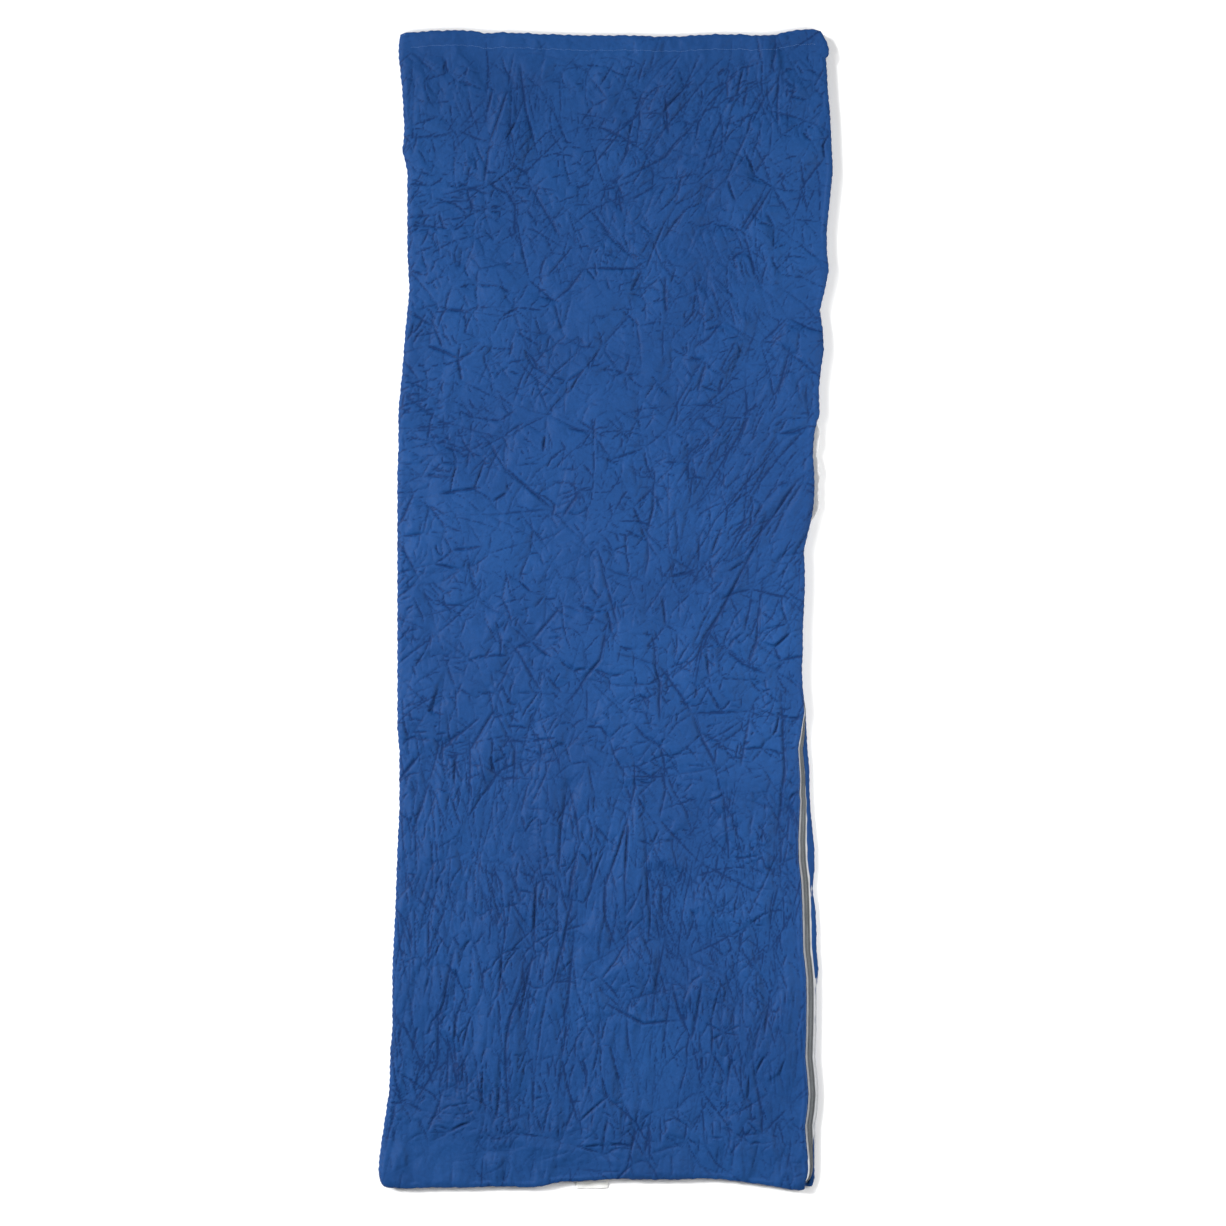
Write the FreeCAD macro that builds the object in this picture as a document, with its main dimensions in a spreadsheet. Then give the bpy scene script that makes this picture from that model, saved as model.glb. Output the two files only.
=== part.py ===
import FreeCAD, Part
import Sketcher
import os

# Rectangular (envelope) sleeping bag, laid flat and zipped shut.
#
# Frame, millimetres: +Z up, the bag rests on Z = 0.  +Y points to the mouth,
# -Y to the foot, +X to the zip side, -X to the folded side.  The origin is
# the middle of the footprint.
#
# The bag is two quilts, one over the other, joined along the folded side at
# -X and zipped together along the side at +X and along the foot.  Each quilt
# is a shell, a batt of fill and a lining.  The over quilt turns about the
# fold; the two zip sliders run along the chain; each pull tab swings on its
# slider.

doc = FreeCAD.newDocument("SleepingBag")

# ---------------------------------------------------------------- dimensions
SIZES = [
    # whole bag
    ("half_width", 366.0, "half of the overall width"),
    ("half_length", 998.0, "half of the overall length"),
    ("seam_height", 11.0, "height of the plane between the quilts"),
    # quilts
    ("quilt_thick", 8.5, "one quilt: shell, fill and lining"),
    ("room_gap", 5.0, "gap between the linings of the empty bag"),
    ("cloth", 0.5, "thickness of shell and lining cloth"),
    ("hinge_inset", 0.5, "fold line inside the outer face of the fold"),
    ("hinge_gap", 1.5, "quilt edge to the fold line"),
    ("fold_clear", 0.3, "top of the fold below the over quilt"),
    # zip tapes
    ("tape_stand", 3.2, "tape outside the quilt edge"),
    ("tape_thick", 0.8, "thickness of the tape"),
    ("tape_reach", 6.6, "seam plane to the sewn edge of the tape"),
    ("chain_gap", 0.1, "half of the gap between the two halves of the chain"),
    ("tape_gap", 1.5, "half of the gap between the two tapes, under the coils"),
    ("clip_gap", 0.2, "width of the clips that let a tape turn the corner"),
    ("corner_radius", 30.0, "zip corner at the foot, at the inner face"),
    ("tape_top", 996.0, "end of the tapes at the mouth"),
    ("tape_start", -362.0, "end of the tapes at the foot"),
    # coil, one half
    ("coil_wide", 2.9, "width of one half of the coil chain"),
    ("coil_high", 1.8, "height of the coil on the tape"),
    # sliders
    ("slider_long", 12.0, "slider length"),
    ("slider_front", 10.6, "slider width at the shoulders"),
    ("slider_rear", 8.8, "slider width at the tail"),
    ("plate_thick", 1.2, "slider plate"),
    ("slide_clear", 0.3, "slider clearance on tape and coil"),
    ("bridge_wide", 2.4, "width of the bridge"),
    ("bridge_high", 2.8, "height of the bridge above the plate"),
    ("side_slider_y", 983.5, "front of the side slider when shut"),
    ("foot_slider_x", -350.0, "front of the foot slider when shut"),
    # pull tabs
    ("pull_thick", 1.0, "pull tab thickness"),
    ("pull_long", 27.0, "pull tab length from its pivot"),
    ("pull_half", 4.0, "half width of the pull tab"),
    ("pivot_back", 4.6, "pivot behind the slider front"),
    # small fittings
    ("stop_long", 3.0, "length of a top stop"),
    ("stop_wide", 3.4, "width of a top stop"),
    ("pin_long", 10.0, "length of the insertion pin and its box"),
    ("pin_wide", 1.9, "width of the insertion pin"),
    ("box_wide", 3.9, "width of the retainer box"),
    ("box_high", 3.0, "height of the retainer box on the tape"),
    ("label_wide", 55.0, "care label width"),
    ("label_middle", -15.0, "care label centre along the foot"),
    ("label_level", 1.2, "care label underside above the ground"),
    ("label_thick", 0.6, "care label thickness"),
]

sheet = doc.addObject("Spreadsheet::Sheet", "Sizes")
for row, (alias, value, note) in enumerate(SIZES, start=2):
    sheet.set("A%d" % row, alias)
    sheet.set("B%d" % row, repr(value))
    sheet.set("C%d" % row, note)
    sheet.setAlias("B%d" % row, alias)
sheet.set("A1", "name")
sheet.set("B1", "mm")
sheet.set("C1", "what it is")
doc.recompute()


class Dim:
    """A size that keeps its value and the sheet expression it comes from."""

    def __init__(self, value, text):
        self.value = float(value)
        self.text = text

    def _other(self, o):
        return o if isinstance(o, Dim) else Dim(o, repr(float(o)))

    def __add__(self, o):
        o = self._other(o)
        return Dim(self.value + o.value, "(%s + %s)" % (self.text, o.text))

    def __sub__(self, o):
        o = self._other(o)
        return Dim(self.value - o.value, "(%s - %s)" % (self.text, o.text))

    def __mul__(self, o):
        o = self._other(o)
        return Dim(self.value * o.value, "(%s * %s)" % (self.text, o.text))

    def __truediv__(self, o):
        o = self._other(o)
        return Dim(self.value / o.value, "(%s / %s)" % (self.text, o.text))

    def __neg__(self):
        return Dim(-self.value, "(0 - %s)" % self.text)


def size(name):
    return Dim(getattr(sheet, name), "Sizes.%s" % name)


def num(value):
    return Dim(value, repr(float(value)))


# -------------------------------------------------------------- derived sizes
half_w, half_l = size("half_width"), size("half_length")
cloth, seam = size("cloth"), size("seam_height")
thick = size("quilt_thick")
fold_in = -half_w + size("hinge_inset")            # the fold line, X
left_edge = fold_in + size("hinge_gap")            # quilt edge at the fold
out_reach = (size("coil_high") + size("tape_thick") + size("slide_clear")
             + size("plate_thick") + size("bridge_high"))
tape_x = half_w - out_reach                        # inner face, side tapes
tape_y = -half_l + out_reach                       # inner face, foot tapes
right_edge = tape_x - size("tape_stand")
foot_edge = tape_y + size("tape_stand")
mouth_edge = half_l
radius = size("corner_radius")
turn_x = tape_x - radius                           # centre of the zip corner
turn_y = tape_y + radius
over_low = size("quilt_thick") + size("room_gap")  # underside of over lining
over_top = over_low + thick

bodies = []


def new_body(label):
    body = doc.addObject("PartDesign::Body", label)
    body.Label = label
    bodies.append(body)
    return body


def plane(body, role):
    for feature in body.Origin.OriginFeatures:
        if feature.Role == role:
            return feature
    raise RuntimeError("no plane " + role)


def sketch_loops(body, name, loops, level=None, role="XY_Plane"):
    """A sketch of closed loops on an origin plane of its own body.

    A loop is a list of ("to", x, y) corners; ("arc", x, y, cx, cy, r, ccw)
    reaches its corner by an arc about (cx, cy).  Every corner and radius is
    bound to the sheet.
    """
    sk = body.newObject("Sketcher::SketchObject", name)
    sk.AttachmentSupport = [(plane(body, role), "")]
    sk.MapMode = "FlatFace"
    if level is not None:
        sk.AttachmentOffset = FreeCAD.Placement(
            FreeCAD.Vector(0, 0, level.value), FreeCAD.Rotation())
        sk.setExpression("AttachmentOffset.Base.z", level.text)
    bound = []
    for loop in loops:
        count = len(loop)
        ids = []
        for i in range(count):
            a, b = loop[i], loop[(i + 1) % count]
            start = FreeCAD.Vector(a[1].value, a[2].value, 0)
            end = FreeCAD.Vector(b[1].value, b[2].value, 0)
            if b[0] == "to":
                ids.append((sk.addGeometry(Part.LineSegment(start, end), False),
                            1, 2, None))
            else:
                centre = FreeCAD.Vector(b[3].value, b[4].value, 0)
                first, last, swap = (start, end, False) if b[6] else (end, start, True)
                circle = Part.Circle(centre, FreeCAD.Vector(0, 0, 1), b[5].value)
                arc = Part.ArcOfCircle(circle, circle.parameter(first),
                                       circle.parameter(last))
                ids.append((sk.addGeometry(arc, False),
                            2 if swap else 1, 1 if swap else 2, b[5]))
        for i in range(count):
            this, nxt = ids[i], ids[(i + 1) % count]
            sk.addConstraint(Sketcher.Constraint(
                "Coincident", this[0], this[2], nxt[0], nxt[1]))
        for i in range(count):
            corner = loop[i]
            g = ids[i]
            for kind, d in (("DistanceX", corner[1]), ("DistanceY", corner[2])):
                index = sk.addConstraint(Sketcher.Constraint(
                    kind, -1, 1, g[0], g[1], d.value))
                bound.append((index, d))
            if g[3] is not None:
                index = sk.addConstraint(Sketcher.Constraint(
                    "Radius", g[0], g[3].value))
                bound.append((index, g[3]))
    for index, d in bound:
        sk.setExpression("Constraints[%d]" % index, d.text)
    return sk


def pad(body, sk, length, name="Pad", both=False):
    feature = body.newObject("PartDesign::Pad", name)
    feature.Profile = sk
    feature.setExpression("Length", length.text)
    if both:
        feature.SideType = "Symmetric"
    return feature


def pocket(body, sk, length, name="Pocket"):
    """A pocket cut from its sketch towards +Z of the sketch."""
    doc.recompute()
    before = body.Shape.Volume
    feature = body.newObject("PartDesign::Pocket", name)
    feature.Profile = sk
    feature.setExpression("Length", length.text)
    feature.Reversed = True
    doc.recompute()
    if not body.Shape.Volume < before - 1e-6:
        raise RuntimeError("pocket cut nothing: %s %s" % (body.Label, name))
    return feature


def rect(x0, y0, x1, y1):
    return [("to", x0, y0), ("to", x1, y0), ("to", x1, y1), ("to", x0, y1)]


def quilt_loop(inset):
    """The plan of a quilt, drawn in by inset, with the zip corner rounded."""
    r = radius - size("tape_stand") - inset
    x0, x1 = left_edge + inset, right_edge - inset
    y0, y1 = foot_edge + inset, mouth_edge - inset
    return [("to", x0, y0), ("to", turn_x, y0),
            ("arc", x1, turn_y, turn_x, turn_y, r, True),
            ("to", x1, y1), ("to", x0, y1)]


def zip_loop(inner, outer, x_start, y_end):
    """The plan of a band that follows the zip, between two offsets outwards
    from the inner face of the tape."""
    return [("to", x_start, tape_y - outer), ("to", turn_x, tape_y - outer),
            ("arc", tape_x + outer, turn_y, turn_x, turn_y, radius + outer, True),
            ("to", tape_x + outer, y_end), ("to", tape_x + inner, y_end),
            ("to", tape_x + inner, turn_y),
            ("arc", turn_x, tape_y - inner, turn_x, turn_y, radius + inner, False),
            ("to", x_start, tape_y - inner)]


# --------------------------------------------------------------- the quilts
# Shell: a shallow tray of cloth.  The batt of fill lies inside it and the
# lining closes it.
zero = num(0)


def make_shell(label, low, open_up):
    body = new_body(label)
    pad(body, sketch_loops(body, label + "_plan", [quilt_loop(zero)], low),
        thick - cloth)
    start = low + cloth if open_up else low
    pocket(body, sketch_loops(body, label + "_inside", [quilt_loop(cloth)], start),
           thick - cloth * 2)
    return body


make_shell("under_shell", zero, True)
make_shell("over_shell", over_low + cloth, False)

for label, low in (("under_fill", cloth), ("over_fill", over_low + cloth)):
    body = new_body(label)
    pad(body, sketch_loops(body, label + "_plan", [quilt_loop(cloth)], low),
        thick - cloth * 2)

for label, low in (("under_lining", thick - cloth), ("over_lining", over_low)):
    body = new_body(label)
    pad(body, sketch_loops(body, label + "_plan", [quilt_loop(zero)], low), cloth)

# The fold: the strip of shell cloth that turns up from the under quilt to the
# over quilt along the closed side.
body = new_body("shell_side_fold")
pad(body, sketch_loops(body, "fold_plan",
                       [rect(-half_w, foot_edge, fold_in, mouth_edge)], zero),
    over_low - size("fold_clear"))

# Care label: a blank cloth tab sewn into the foot seam of the under quilt.
body = new_body("care_label")
lab_x = size("label_middle")
lab_h = size("label_wide") / 2
pad(body, sketch_loops(body, "label_plan",
                       [rect(lab_x - lab_h, -half_l, lab_x + lab_h, foot_edge)],
                       size("label_level")), size("label_thick"))

# ------------------------------------------------------------ the zip tapes
# Each tape stands upright outside the quilts, its chain edge near the seam
# plane, and turns in to the quilt at its sewn edge.  It is clipped across at
# both ends of the rounded corner, so it is three solids in a row.
under_tape_low = seam - size("tape_reach")
chain_low = seam - size("chain_gap")
chain_high = seam + size("chain_gap")
tape_edge_low = seam - size("tape_gap")
tape_edge_high = seam + size("tape_gap")
clip = size("clip_gap")
over_tape_top = seam + size("tape_reach")
tape_t = size("tape_thick")

body = new_body("under_zip_tape")
pad(body, sketch_loops(body, "under_tape_upright",
                       [zip_loop(zero, tape_t, size("tape_start"), size("tape_top"))],
                       under_tape_low), tape_edge_low - under_tape_low)
pad(body, sketch_loops(body, "under_tape_sewn",
                       [zip_loop(-size("tape_stand"), tape_t,
                                 size("tape_start"), size("tape_top"))],
                       under_tape_low), tape_t)


def clip_tape(body, low, name):
    """Clips right across the tape at both ends of its rounded corner."""
    pocket(body, sketch_loops(body, name, [
        rect(turn_x - clip, tape_y - 2.0, turn_x, foot_edge + 1.0),
        rect(right_edge - 1.0, turn_y, tape_x + 2.0, turn_y + clip)],
        low - 1.0), size("tape_reach") + 2.0, "Clips")


clip_tape(body, under_tape_low, "under_tape_clips")

body = new_body("over_zip_tape")
pad(body, sketch_loops(body, "over_tape_upright",
                       [zip_loop(zero, tape_t, size("tape_start"), size("tape_top"))],
                       tape_edge_high), over_tape_top - tape_edge_high)
pad(body, sketch_loops(body, "over_tape_sewn",
                       [zip_loop(-size("tape_stand"), tape_t,
                                 size("tape_start"), size("tape_top"))],
                       over_tape_top - tape_t), tape_t)
# room for the two sliders where they stand when the bag is shut
side_front = size("side_slider_y")
side_rear = side_front - size("slider_long")
foot_front = size("foot_slider_x")
foot_rear = foot_front + size("slider_long")
pocket(body, sketch_loops(body, "slider_room", [
    rect(tape_x - 1.0, side_rear - 0.5, tape_x + 2.0, side_front + 0.5),
    rect(foot_front - 0.5, tape_y - 2.0, foot_rear + 0.5, tape_y + 1.0)],
    chain_high - 1.0), size("slider_front") / 2 + 1.2, "SliderRoom")
clip_tape(body, tape_edge_high, "over_tape_clips")

# Coil chain, one half on each tape.  The under half ends inside the sliders,
# the over half just behind them.
coil_out = tape_t + size("coil_high")
body = new_body("under_zip_coil")
pad(body, sketch_loops(body, "under_coil_plan",
                       [zip_loop(tape_t, coil_out, foot_rear - 4.5, side_rear + 4.5)],
                       chain_low - size("coil_wide")), size("coil_wide"))
body = new_body("over_zip_coil")
pad(body, sketch_loops(body, "over_coil_plan",
                       [zip_loop(tape_t, coil_out, foot_rear + 0.5, side_rear - 0.5)],
                       chain_high), size("coil_wide"))

# Top stops, clamped on the tapes just past the side slider.
for label, low in (("under_top_stop", chain_low - size("stop_wide")),
                   ("over_top_stop", chain_high)):
    body = new_body(label)
    y0 = side_front + 0.8
    pad(body, sketch_loops(body, label + "_plan",
                           [rect(tape_x + tape_t, y0, tape_x + coil_out,
                                 y0 + size("stop_long"))], low), size("stop_wide"))

# Retainer box on the under tape and insertion pin on the over tape, at the
# foot end of the zip.
body = new_body("zip_retainer_box")
bx0 = size("tape_start") + 1.0
bx1 = bx0 + size("pin_long")
pad(body, sketch_loops(body, "box_plan",
                       [rect(bx0, tape_y - tape_t - size("box_high"), bx1,
                             tape_y - tape_t)], chain_low - size("box_wide")),
    size("box_wide"))
body = new_body("zip_insertion_pin")
pad(body, sketch_loops(body, "pin_plan",
                       [rect(bx0, tape_y - coil_out, bx1, tape_y - tape_t)],
                       chain_high), size("pin_wide"))


# ------------------------------------------------------------- the sliders
# A slider's own frame: X back along the closed chain from the slider's front,
# Y across the chain, Z outwards from the inner face of the tape.
def make_slider(label):
    body = new_body(label)
    fw, rw = size("slider_front") / 2, size("slider_rear") / 2
    ln = size("slider_long")
    low = -(size("slide_clear") + size("plate_thick"))
    channel = coil_out + size("slide_clear") * 2
    total = channel + size("plate_thick") * 2
    c = num(1.2)
    outline = [("arc", c, -fw, c, -fw + 1.2, c, True),
               ("to", num(4.6), -fw), ("to", num(8.0), -rw),
               ("to", ln - 1.2, -rw),
               ("arc", ln, -rw + 1.2, ln - 1.2, -rw + 1.2, c, True),
               ("to", ln, rw - 1.2),
               ("arc", ln - 1.2, rw, ln - 1.2, rw - 1.2, c, True),
               ("to", num(8.0), rw), ("to", num(4.6), fw), ("to", c, fw),
               ("arc", zero, fw - 1.2, c, fw - 1.2, c, True),
               ("to", zero, -fw + 1.2)]
    pad(body, sketch_loops(body, label + "_outline", [outline], low), total)
    cw = size("coil_wide") + size("chain_gap") + size("slide_clear")
    mouth = fw - 0.9
    # the channel: one way at the tail, parting round the post at the front
    way = [("to", num(-1.0), -mouth), ("to", num(4.0), -mouth),
           ("to", num(7.0), -cw), ("to", ln + 1.0, -cw), ("to", ln + 1.0, cw),
           ("to", num(7.0), cw), ("to", num(4.0), mouth), ("to", num(-1.0), mouth),
           ("to", num(-1.0), num(1.3)), ("to", num(3.2), num(1.3)),
           ("to", num(5.2), zero), ("to", num(3.2), num(-1.3)),
           ("to", num(-1.0), num(-1.3))]
    pocket(body, sketch_loops(body, label + "_channel", [way],
                              -size("slide_clear")), channel, "Channel")
    # the slots that the tapes pass through
    pocket(body, sketch_loops(body, label + "_slots", [
        rect(num(-1.0), num(3.0), ln + 1.0, fw + 1.0),
        rect(num(-1.0), -(fw + 1.0), ln + 1.0, num(-3.0))],
        -size("slide_clear")), tape_t + size("slide_clear") * 2, "TapeSlots")
    # the bridge that the pull tab hangs on
    top = coil_out + size("slide_clear") + size("plate_thick")
    high = size("bridge_high")
    arch = [("to", num(2.0), top - 0.1), ("to", num(3.3), top - 0.1),
            ("to", num(3.8), top + high - 1.0), ("to", num(8.7), top + high - 1.0),
            ("to", num(9.2), top - 0.1), ("to", num(10.5), top - 0.1),
            ("to", num(9.5), top + high), ("to", num(3.0), top + high)]
    pad(body, sketch_loops(body, label + "_bridge", [arch], None, "XZ_Plane"),
        size("bridge_wide"), "Bridge", True)
    doc.recompute()
    # ease the bridge's outer edges
    edges = []
    for i, edge in enumerate(body.Shape.Edges, start=1):
        box = edge.BoundBox
        if (box.ZMin > (top + high).value - 0.01 and box.XLength > 5
                and abs(abs(box.YMin) - size("bridge_wide").value / 2) < 1e-3):
            edges.append("Edge%d" % i)
    if edges:
        bridge = body.Tip
        ease = body.newObject("PartDesign::Fillet", "BridgeEdges")
        ease.Base = (bridge, edges)
        ease.Radius = 0.6
        body.Tip = ease
    return body


def make_pull(label):
    body = new_body(label)
    top = coil_out + size("slide_clear") + size("plate_thick")
    low = top + 0.4
    p = size("pivot_back")
    hw = size("pull_half")
    end = p + size("pull_long")
    r = num(2.0)
    plate = [("to", p - 0.6, num(-3.2)), ("to", p + 8.4, num(-3.2)),
             ("to", p + 12.0, -hw), ("to", end - 2.0, -hw),
             ("arc", end, -hw + 2.0, end - 2.0, -hw + 2.0, r, True),
             ("to", end, hw - 2.0),
             ("arc", end - 2.0, hw, end - 2.0, hw - 2.0, r, True),
             ("to", p + 12.0, hw), ("to", p + 8.4, num(3.2)),
             ("to", p - 0.6, num(3.2))]
    pad(body, sketch_loops(body, label + "_plate", [plate], low), size("pull_thick"))
    pocket(body, sketch_loops(body, label + "_eyes", [
        rect(p + 0.6, num(-1.8), p + 7.2, num(1.8)),
        rect(p + 13.0, num(-1.9), end - 3.0, num(1.9))], low - 0.5),
        size("pull_thick") + 1.0, "Eyes")
    return body


def axes(x_dir, y_dir, z_dir):
    m = FreeCAD.Matrix()
    m.A11, m.A21, m.A31 = x_dir
    m.A12, m.A22, m.A32 = y_dir
    m.A13, m.A23, m.A33 = z_dir
    return FreeCAD.Placement(m).Rotation


for label, make in (("side_slider_body", make_slider), ("side_pull_tab", make_pull)):
    body = make(label)
    body.Placement = FreeCAD.Placement(
        FreeCAD.Vector(tape_x.value, side_front.value, seam.value),
        axes((0, -1, 0), (0, 0, -1), (1, 0, 0)))
    body.setExpression("Placement.Base.x", tape_x.text)
    body.setExpression("Placement.Base.y", side_front.text)
    body.setExpression("Placement.Base.z", seam.text)

for label, make in (("foot_slider_body", make_slider), ("foot_pull_tab", make_pull)):
    body = make(label)
    body.Placement = FreeCAD.Placement(
        FreeCAD.Vector(foot_front.value, tape_y.value, seam.value),
        axes((1, 0, 0), (0, 0, 1), (0, -1, 0)))
    body.setExpression("Placement.Base.x", foot_front.text)
    body.setExpression("Placement.Base.y", tape_y.text)
    body.setExpression("Placement.Base.z", seam.text)

doc.recompute()

# -------------------------------------------------------------------- checks
for obj in doc.Objects:
    if "Invalid" in obj.State or "Error" in obj.State:
        raise RuntimeError("%s did not compute: %s" % (obj.Label, obj.State))
for body in bodies:
    shape = body.Shape
    if shape.isNull() or not shape.isValid() or shape.Volume <= 0:
        raise RuntimeError("%s has no valid solid" % body.Label)

# -------------------------------------------------------------------- export
os.makedirs("parts", exist_ok=True)
for body in bodies:
    shape = body.Shape
    shape.exportStep("parts/%s.step" % body.Label)
    bb = shape.BoundBox
    print("%-20s solids %d  %8.2f..%8.2f  %8.2f..%8.2f  %6.2f..%6.2f  %.1f cm3"
          % (body.Label, len(shape.Solids), bb.XMin, bb.XMax, bb.YMin, bb.YMax,
             bb.ZMin, bb.ZMax, shape.Volume / 1000.0))
print("fold line x %.2f z %.2f; side pull pivot x %.2f y %.2f; foot pull pivot x %.2f y %.2f"
      % (fold_in.value, seam.value,
         tape_x.value + coil_out.value + 0.3 + 1.2 + 0.9,
         side_front.value - 4.6, foot_front.value + 4.6,
         tape_y.value - coil_out.value - 0.3 - 1.2 - 0.9))
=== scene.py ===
import bpy, math
import numpy as np
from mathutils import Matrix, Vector
from mathutils.geometry import delaunay_2d_cdt


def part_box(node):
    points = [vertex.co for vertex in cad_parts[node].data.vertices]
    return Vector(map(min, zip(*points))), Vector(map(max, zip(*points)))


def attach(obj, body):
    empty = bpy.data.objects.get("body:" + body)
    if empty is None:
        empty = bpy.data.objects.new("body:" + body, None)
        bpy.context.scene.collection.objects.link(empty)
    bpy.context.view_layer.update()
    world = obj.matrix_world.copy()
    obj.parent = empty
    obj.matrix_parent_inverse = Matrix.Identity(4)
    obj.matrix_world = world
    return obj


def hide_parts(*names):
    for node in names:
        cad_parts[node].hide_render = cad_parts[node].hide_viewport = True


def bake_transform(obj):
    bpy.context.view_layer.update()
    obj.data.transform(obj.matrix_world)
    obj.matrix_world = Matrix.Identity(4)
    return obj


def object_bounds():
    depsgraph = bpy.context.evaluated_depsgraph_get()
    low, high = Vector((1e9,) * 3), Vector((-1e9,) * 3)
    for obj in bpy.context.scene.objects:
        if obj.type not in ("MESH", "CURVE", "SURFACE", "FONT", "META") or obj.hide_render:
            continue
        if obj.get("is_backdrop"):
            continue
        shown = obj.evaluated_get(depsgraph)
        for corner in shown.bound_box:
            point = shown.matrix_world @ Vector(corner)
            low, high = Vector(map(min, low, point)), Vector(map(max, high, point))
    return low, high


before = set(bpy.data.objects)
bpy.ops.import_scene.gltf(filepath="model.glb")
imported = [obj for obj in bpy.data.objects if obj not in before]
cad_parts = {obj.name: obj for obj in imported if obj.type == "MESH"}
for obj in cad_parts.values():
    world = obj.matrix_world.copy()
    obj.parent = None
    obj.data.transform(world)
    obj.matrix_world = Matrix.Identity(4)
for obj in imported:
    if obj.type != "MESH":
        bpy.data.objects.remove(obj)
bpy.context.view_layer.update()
MM = 0.001

# ---------------------------------------------------------------- outline, in millimetres of the CAD frame
LEFT = [(-377.8, -991.9), (-380.8, -985.1), (-383.3, -967.9), (-380.2, -933.5), (-375.5, -899.0), (-370.8, -864.5), (-366.0, -830.1), (-365.1, -761.3), (-362.1, -726.8), (-363.4, -623.6), (-362.1, -589.2), (-359.5, -520.4), (-357.3, -417.2), (-354.7, -348.3), (-356.0, -245.1), (-359.8, -210.8), (-362.6, 12.8), (-365.3, 236.4), (-364.0, 270.8), (-364.8, 339.6), (-361.8, 374.1), (-358.8, 408.5), (-354.5, 477.4), (-348.4, 546.2), (-350.6, 580.6), (-352.7, 615.0), (-354.4, 752.6), (-363.4, 786.9), (-360.4, 821.3), (-364.7, 890.1), (-370.4, 938.2), (-372.4, 958.8), (-370.9, 976.0), (-369.3, 986.3)]
FOOT = [(-377.8, -991.9), (-373.4, -996.7), (-365.7, -998.7), (-353.6, -999.4), (-327.8, -999.9), (-302.0, -997.9), (-224.6, -996.9), (-198.9, -994.9), (-147.3, -994.3), (-121.5, -995.7), (-95.7, -991.9), (-70.0, -984.7), (-44.2, -984.4), (-18.4, -982.4), (7.4, -980.3), (33.1, -978.3), (59.0, -979.7), (136.4, -978.8), (162.1, -976.7), (187.9, -976.4), (213.8, -977.8), (239.6, -980.9), (291.3, -987.2), (317.1, -992.0), (341.0, -995.0), (348.0, -994.2), (351.5, -991.5)]
MOUTH = [(-369.3, 986.3), (-360.7, 989.0), (-352.1, 990.0), (-326.4, 992.0), (-300.6, 994.0), (-249.0, 994.7), (-223.1, 989.8), (-197.3, 991.9), (-145.7, 990.8), (-119.9, 989.4), (-94.1, 989.7), (-68.3, 988.3), (34.9, 989.5), (60.7, 988.1), (112.3, 988.8), (138.1, 990.8), (163.9, 992.8), (215.5, 993.5), (241.3, 992.1), (267.1, 992.4), (292.8, 997.9), (318.6, 1003.3), (344.4, 1003.6), (354.7, 1000.3)]
RIGHT = [(364.4, -988.9), (368.6, -977.6), (367.5, -889.9), (368.8, -855.5), (370.1, -821.1), (367.9, -786.7), (365.8, -752.3), (367.1, -717.9), (368.4, -683.5), (368.0, -649.1), (371.0, -614.7), (367.1, -580.3), (366.7, -545.9), (364.6, -511.5), (359.0, -477.2), (362.0, -442.8), (361.6, -408.4), (357.7, -374.0), (353.9, -339.7), (351.7, -305.3), (351.3, -270.9), (347.5, -236.5), (345.3, -202.2), (343.2, -167.8), (337.6, -133.4), (335.5, -99.1), (336.8, -64.6), (336.3, -30.2), (337.6, 4.2), (338.9, 38.6), (338.5, 73.0), (336.4, 107.4), (344.6, 141.9), (351.5, 176.3), (353.6, 210.8), (352.6, 241.8), (350.1, 267.6), (350.3, 284.8), (352.2, 310.6), (357.4, 331.2), (360.8, 341.5), (358.8, 382.9), (361.8, 417.3), (366.6, 451.8), (364.4, 486.1), (358.9, 520.5), (367.0, 555.0), (373.5, 589.5), (369.6, 623.8), (369.2, 658.2), (372.2, 692.6), (375.3, 727.1), (378.3, 761.5), (376.1, 795.9), (371.9, 864.7), (368.0, 899.0), (365.9, 933.4), (363.9, 954.0), (369.0, 960.9), (368.8, 971.3), (365.3, 981.5), (360.0, 991.8), (354.7, 1000.3)]
ZIP = [(336.0, -140.0), (338.5, -150.6), (342.0, -169.5), (339.4, -209.1), (335.7, -234.9), (338.1, -260.7), (340.4, -288.2), (340.0, -314.0), (341.8, -322.6), (340.6, -393.1), (341.9, -427.5), (346.6, -463.6), (348.8, -503.1), (351.7, -585.7), (353.8, -597.7), (357.2, -628.6), (358.3, -659.5), (358.4, -719.7), (357.4, -766.2), (360.9, -797.1), (363.5, -828.1), (361.9, -857.3), (358.3, -883.2), (360.0, -908.9), (362.3, -934.7), (363.5, -956.0)]
STARS = [(-250.8, 724.6), (-140.8, 725.9), (7.1, 727.7), (-241.9, 272.3), (-29.0, 307.6), (20.9, 308.2), (24.8, 408.0), (7.9, 101.6), (-190.4, -143.3), (91.6, -134.7), (95.0, -270.6), (207.2, -725.0), (-70.1, -554.7), (-50.1, 204.1)]
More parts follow.
